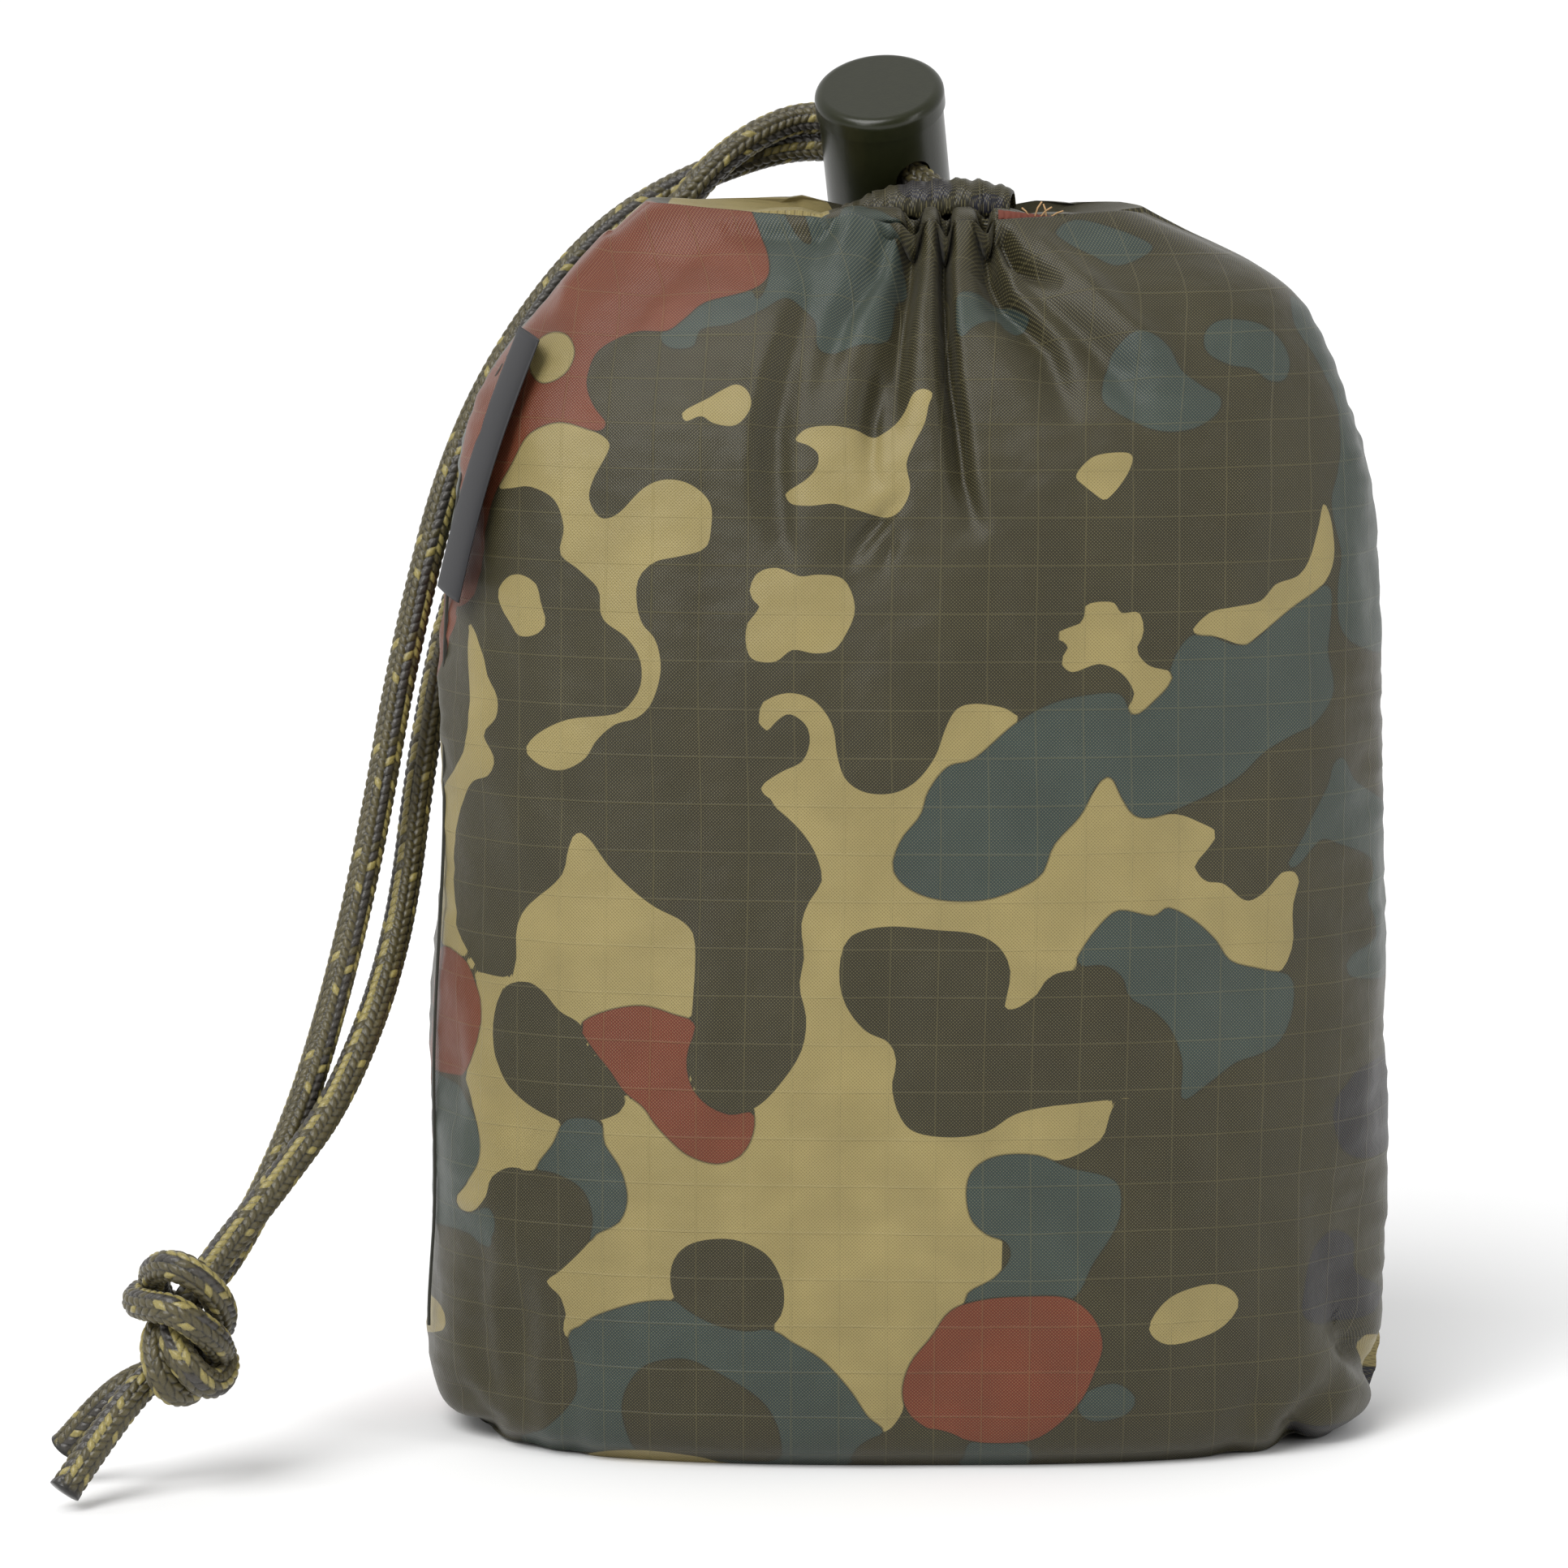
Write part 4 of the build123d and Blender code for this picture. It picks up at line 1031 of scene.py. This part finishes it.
# ---------------------------------------------------------------- small pieces and their materials
def plain(name, colour, roughness, specular=0.5):
    n = Nodes(name)
    mottled = n.mix(n.step(n.noise(900, 2.0), 0.3, 0.7), n.mix(0.12, colour, BLACK), colour)
    n.put(n.bsdf.inputs["Base Color"], mottled)
    n.bsdf.inputs["Roughness"].default_value = roughness
    n.bsdf.inputs["Specular IOR Level"].default_value = specular
    n.put(n.bsdf.inputs["Normal"], n.bump(n.noise(2500, 2.0), 0.00002, 0.5))
    return n.mat


lock_mat = plain("lock_plastic", srgb(32, 34, 18), 0.28, 0.32)
label_mat = plain("label_tape", srgb(20, 20, 24), 0.6)
thread_mat = plain("seam_thread", srgb(34, 34, 24), 0.7)
fray_mat = plain("frayed_edge", srgb(100, 46, 30), 0.8)
spring_mat = plain("spring_wire", srgb(190, 190, 195), 0.3)
spring_mat.node_tree.nodes["Principled BSDF"].inputs["Metallic"].default_value = 1.0


def shell(name, outer, inner, closed=False):
    """A thin sheet of two matching point grids, rows by columns, joined round its border."""
    rows, cols = len(outer), len(outer[0])
    points = np.vstack([np.reshape(outer, (-1, 3)), np.reshape(inner, (-1, 3))])
    base = grid_faces(rows, cols, wrap=closed)
    size = rows * cols
    faces = base.tolist() + (base[:, ::-1] + size).tolist()
    for r in range(rows - 1):
        if not closed:
            a, b = r * cols, (r + 1) * cols
            faces.append([a, b, b + size, a + size])
            a, b = a + cols - 1, b + cols - 1
            faces.append([a, a + size, b + size, b])
    for c in range(cols if closed else cols - 1):
        d = (c + 1) % cols
        faces.append([c, c + size, d + size, d])
        a, b = (rows - 1) * cols + c, (rows - 1) * cols + d
        faces.append([a, b, b + size, a + size])
    return new_piece(name, points, faces)


CREST_X = (-10.8, -8, -5, 0, 5, 9, 12, 13.8)
CREST_Z = (161.9, 163.4, 164.7, 165.9, 166.4, 166.3, 165.6, 164.9)


def roll_grid(x0, x1, grow, columns=44, rows=60):
    """Half-round hood of the back casing between two places along the neck, as rows of points."""
    grid = np.zeros((rows, columns, 3))
    for i, x in enumerate(np.linspace(x0, x1, rows)):
        crest = np.interp(x, CREST_X, CREST_Z)
        half = np.interp(x, (-10.8, -7, 8, 13.8), (1.2, 2.6, 2.8, 2.4)) + grow
        angle = np.linspace(-0.62, 0.62, columns) * math.pi
        ripple = 0.16 * np.sin(x * 2.1 + angle * 2.2) + 0.1 * np.sin(x * 4.3 - angle * 3)
        grid[i, :, 0] = x + 0.5 * np.sin(angle) * (x > 10)
        grid[i, :, 1] = 1.2 + (half + ripple * 0.6) * np.sin(angle)
        grid[i, :, 2] = crest + grow - half * 1.1 * (1 - np.cos(angle)) + ripple
    return grid


def navy_spots(grid, spots):
    flat = grid.reshape(-1, 3)
    field = np.full(len(flat), -3.0)
    for x, z, rx, rz in spots:
        away = np.hypot((flat[:, 0] - x) / rx, (flat[:, 2] - z) / rz)
        field = np.maximum(field, np.clip((1 - away) * min(rx, rz), -3, 3))
    return field


# x, z and the two radii of each navy patch on the right part
ROLL_SPOTS = ((2.2, 165.6, 3.6, 1.6), (10.2, 163.6, 2.4, 1.3), (12.6, 161.6, 2.0, 1.2))
for label, node, x0, x1, grow, spots in (
    ("casing_roll_left", "casing_roll", -10.8, -3.6, 0.0, ()),
    ("casing_roll_right", "hem_fold", -4.8, 13.8, 0.35, ROLL_SPOTS),
):
    outer_grid = roll_grid(x0, x1, grow)
    inner_grid = roll_grid(x0, x1, grow - 0.4)
    roll = shell(label, outer_grid, inner_grid)
    count = outer_grid.size // 3
    colours = np.full((2 * count, 4), 0.0)
    colours[:count, 3] = 0.5 + navy_spots(outer_grid, spots) / 6
    attr = roll.data.color_attributes.new("camo", "FLOAT_COLOR", "POINT")
    attr.data.foreach_set("color", colours.ravel())
    roll_s, roll_t = outer_grid[:, :, 0].ravel(), outer_grid[:, :, 1].ravel() * 1.5
    add_cloth_uv(roll, np.tile(roll_s, 2), np.tile(roll_t, 2))
    roll.data.materials.append(fabric)
    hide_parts(node)

# raw edge of the casing's seam allowance, with loose yarn ends
strip_rows = np.linspace(0, 1, 50)
strip_cols = np.linspace(0, 1, 10)
allowance = np.zeros((50, 10, 3))
for i, f in enumerate(strip_rows):
    ragged = 0.25 * math.sin(f * 61) + 0.18 * math.sin(f * 97 + 1)
    for j, g in enumerate(strip_cols):
        allowance[i, j] = (
            11.6 + 7.4 * f + 0.1 * math.sin(f * 40), -7.0 - 1.2 * g + 0.8 * f,
            163.1 - 0.9 * f - (1.1 + ragged * 0.6) * g + 0.35 * math.sin(g * 3.1),
        )
drop = np.array([0.0, 0.35, -0.3])
fray = shell("raw_allowance", allowance, allowance + drop)
fray.data.materials.append(fray_mat)
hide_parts("frayed_allowance")


def fibre(name, points, radius, sides=8):
    line = np.array(points, dtype=float)
    fine = np.linspace(0, len(line) - 1, 24)
    line = np.stack([np.interp(fine, np.arange(len(points)), line[:, k]) for k in range(3)], axis=1)
    tangent, side, up_dir = along_frames(line)
    angle = np.linspace(0, 2 * math.pi, sides, endpoint=False)
    ring = np.cos(angle)[None, :, None] * side[:, None, :] + np.sin(angle)[None, :, None] * up_dir[:, None, :]
    points = (line[:, None, :] + ring * radius).reshape(-1, 3)
    faces = grid_faces(24, sides).tolist()
    faces += [list(range(sides))[::-1], [23 * sides + k for k in range(sides)]]
    return new_piece(name, points, faces)


loose_mat = plain("loose_yarn", srgb(176, 140, 96), 0.7)
# x of the root, sideways lean and height of each yarn end
YARN_ENDS = ((17.4, 0.9, 1.9), (18.2, 1.4, 1.2), (18.9, -0.4, 1.6), (16.6, -0.9, 1.1), (19.6, 1.5, 0.7))
YARN_ROOT_Z = 162.2
for i, (x, lean, tall) in enumerate(YARN_ENDS):
    route = [
        (x - 1.0, -7.0, YARN_ROOT_Z),
        (x - 1.0 + lean * 0.4, -7.1, YARN_ROOT_Z + tall * 0.6),
        (x - 1.0 + lean, -6.8, YARN_ROOT_Z + tall),
    ]
    yarn = fibre(f"loose_yarn_{i + 1}", route, 0.11)
    yarn.data.materials.append(loose_mat)

# folded blank tape in the left seam
LABEL_BASE = np.array([(-51.0, -9.0, 148.0), (-61.8, -11.5, 114.2)])
LABEL_TIP = np.array([(-48.3, -17.0, 146.8), (-58.8, -19.5, 112.9)])
loop = []
inner_loop = []
for f in np.linspace(0, 1, 60):
    base = LABEL_BASE[0] * (1 - f) + LABEL_BASE[1] * f
    tip = LABEL_TIP[0] * (1 - f) + LABEL_TIP[1] * f
    bow = np.array([-0.9, -2.6, 0.0]) * math.sin(f * math.pi)
    across = (tip - base) / np.linalg.norm(tip - base)
    away = np.cross(across, [0.28, 0.02, 0.96])
    away /= np.linalg.norm(away)
    for ring, thick, short in ((loop, 0.62, 0.0), (inner_loop, 0.30, 0.32)):
        row = []
        for g in np.linspace(0, 2 * math.pi, 40, endpoint=False):
            reach_out = (0.5 - 0.5 * math.cos(g)) * (9.0 - short)
            fat = thick * math.sin(g) * (0.55 + 0.45 * reach_out / 9)
            row.append(base + bow + across * reach_out + away * fat)
        ring.append(row)
label_piece = shell("folded_label", np.array(loop), np.array(inner_loop), closed=True)
label_s = np.tile(np.linspace(0, 18, 40), 60)
label_t = np.repeat(np.linspace(0, 36, 60), 40)
add_cloth_uv(label_piece, np.tile(label_s, 2), np.tile(label_t, 2))
label_piece.data.materials.append(label_mat)
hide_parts("woven_label")

for node, mat in (("lock_barrel", lock_mat), ("lock_plunger", lock_mat), ("lock_spring", spring_mat),
                  ("stitching_left", thread_mat), ("stitching_right", thread_mat)):
    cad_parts[node].data.materials.clear()
    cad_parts[node].data.materials.append(mat)

# ---------------------------------------------------------------- floor and light
floor_mesh = bpy.data.meshes.new("floor")
floor_mesh.from_pydata([(-20, -20, 0), (20, -20, 0), (20, 40, 0), (-20, 40, 0)], [], [(0, 1, 2, 3)])
floor = bpy.data.objects.new("floor", floor_mesh)
bpy.context.collection.objects.link(floor)
floor_nodes = Nodes("pale_floor")
floor_nodes.bsdf.inputs["Base Color"].default_value = (0.86, 0.86, 0.86, 1)
floor_nodes.bsdf.inputs["Roughness"].default_value = 0.9
floor.data.materials.append(floor_nodes.mat)

world = bpy.data.worlds.new("studio")
bpy.context.scene.world = world
world.use_nodes = True
# a white sweep all round, dimmer on the side the picture is taken from
world_tree = world.node_tree
facing = world_tree.nodes.new("ShaderNodeTexCoord")
parts = world_tree.nodes.new("ShaderNodeSeparateXYZ")
fade = world_tree.nodes.new("ShaderNodeMapRange")
fade.inputs["From Min"].default_value = -0.85
fade.inputs["From Max"].default_value = 0.35
fade.inputs["To Min"].default_value = 0.16
fade.inputs["To Max"].default_value = 1.0
world_tree.links.new(facing.outputs["Generated"], parts.inputs[0])
world_tree.links.new(parts.outputs["Y"], fade.inputs["Value"])
world_tree.links.new(fade.outputs[0], world_tree.nodes["Background"].inputs["Strength"])
world_tree.nodes["Background"].inputs["Color"].default_value = (1, 1, 1, 1)


def softbox(name, place, target, size, power):
    data = bpy.data.lights.new(name, "AREA")
    data.shape = "RECTANGLE"
    data.size, data.size_y = size
    data.energy = power
    lamp = bpy.data.objects.new(name, data)
    bpy.context.collection.objects.link(lamp)
    lamp.location = place
    lamp.rotation_euler = (Vector(target) - Vector(place)).to_track_quat("-Z", "Y").to_euler()
    return lamp


sun_data = bpy.data.lights.new("key_sun", "SUN")
sun_data.energy = 2.3
sun_data.angle = math.radians(35)
sun = bpy.data.objects.new("key_sun", sun_data)
bpy.context.collection.objects.link(sun)
sun.rotation_euler = Vector((0.45, 0.75, -1.0)).to_track_quat("-Z", "Y").to_euler()
softbox("key", (-0.45, -0.8, 0.55), (0, 0, 0.09), (0.25, 0.7), 2.6)
softbox("strip", (0.55, -0.45, 0.35), (0, 0, 0.09), (0.15, 0.6), 1.2)
bpy.context.scene.view_settings.view_transform = "Standard"
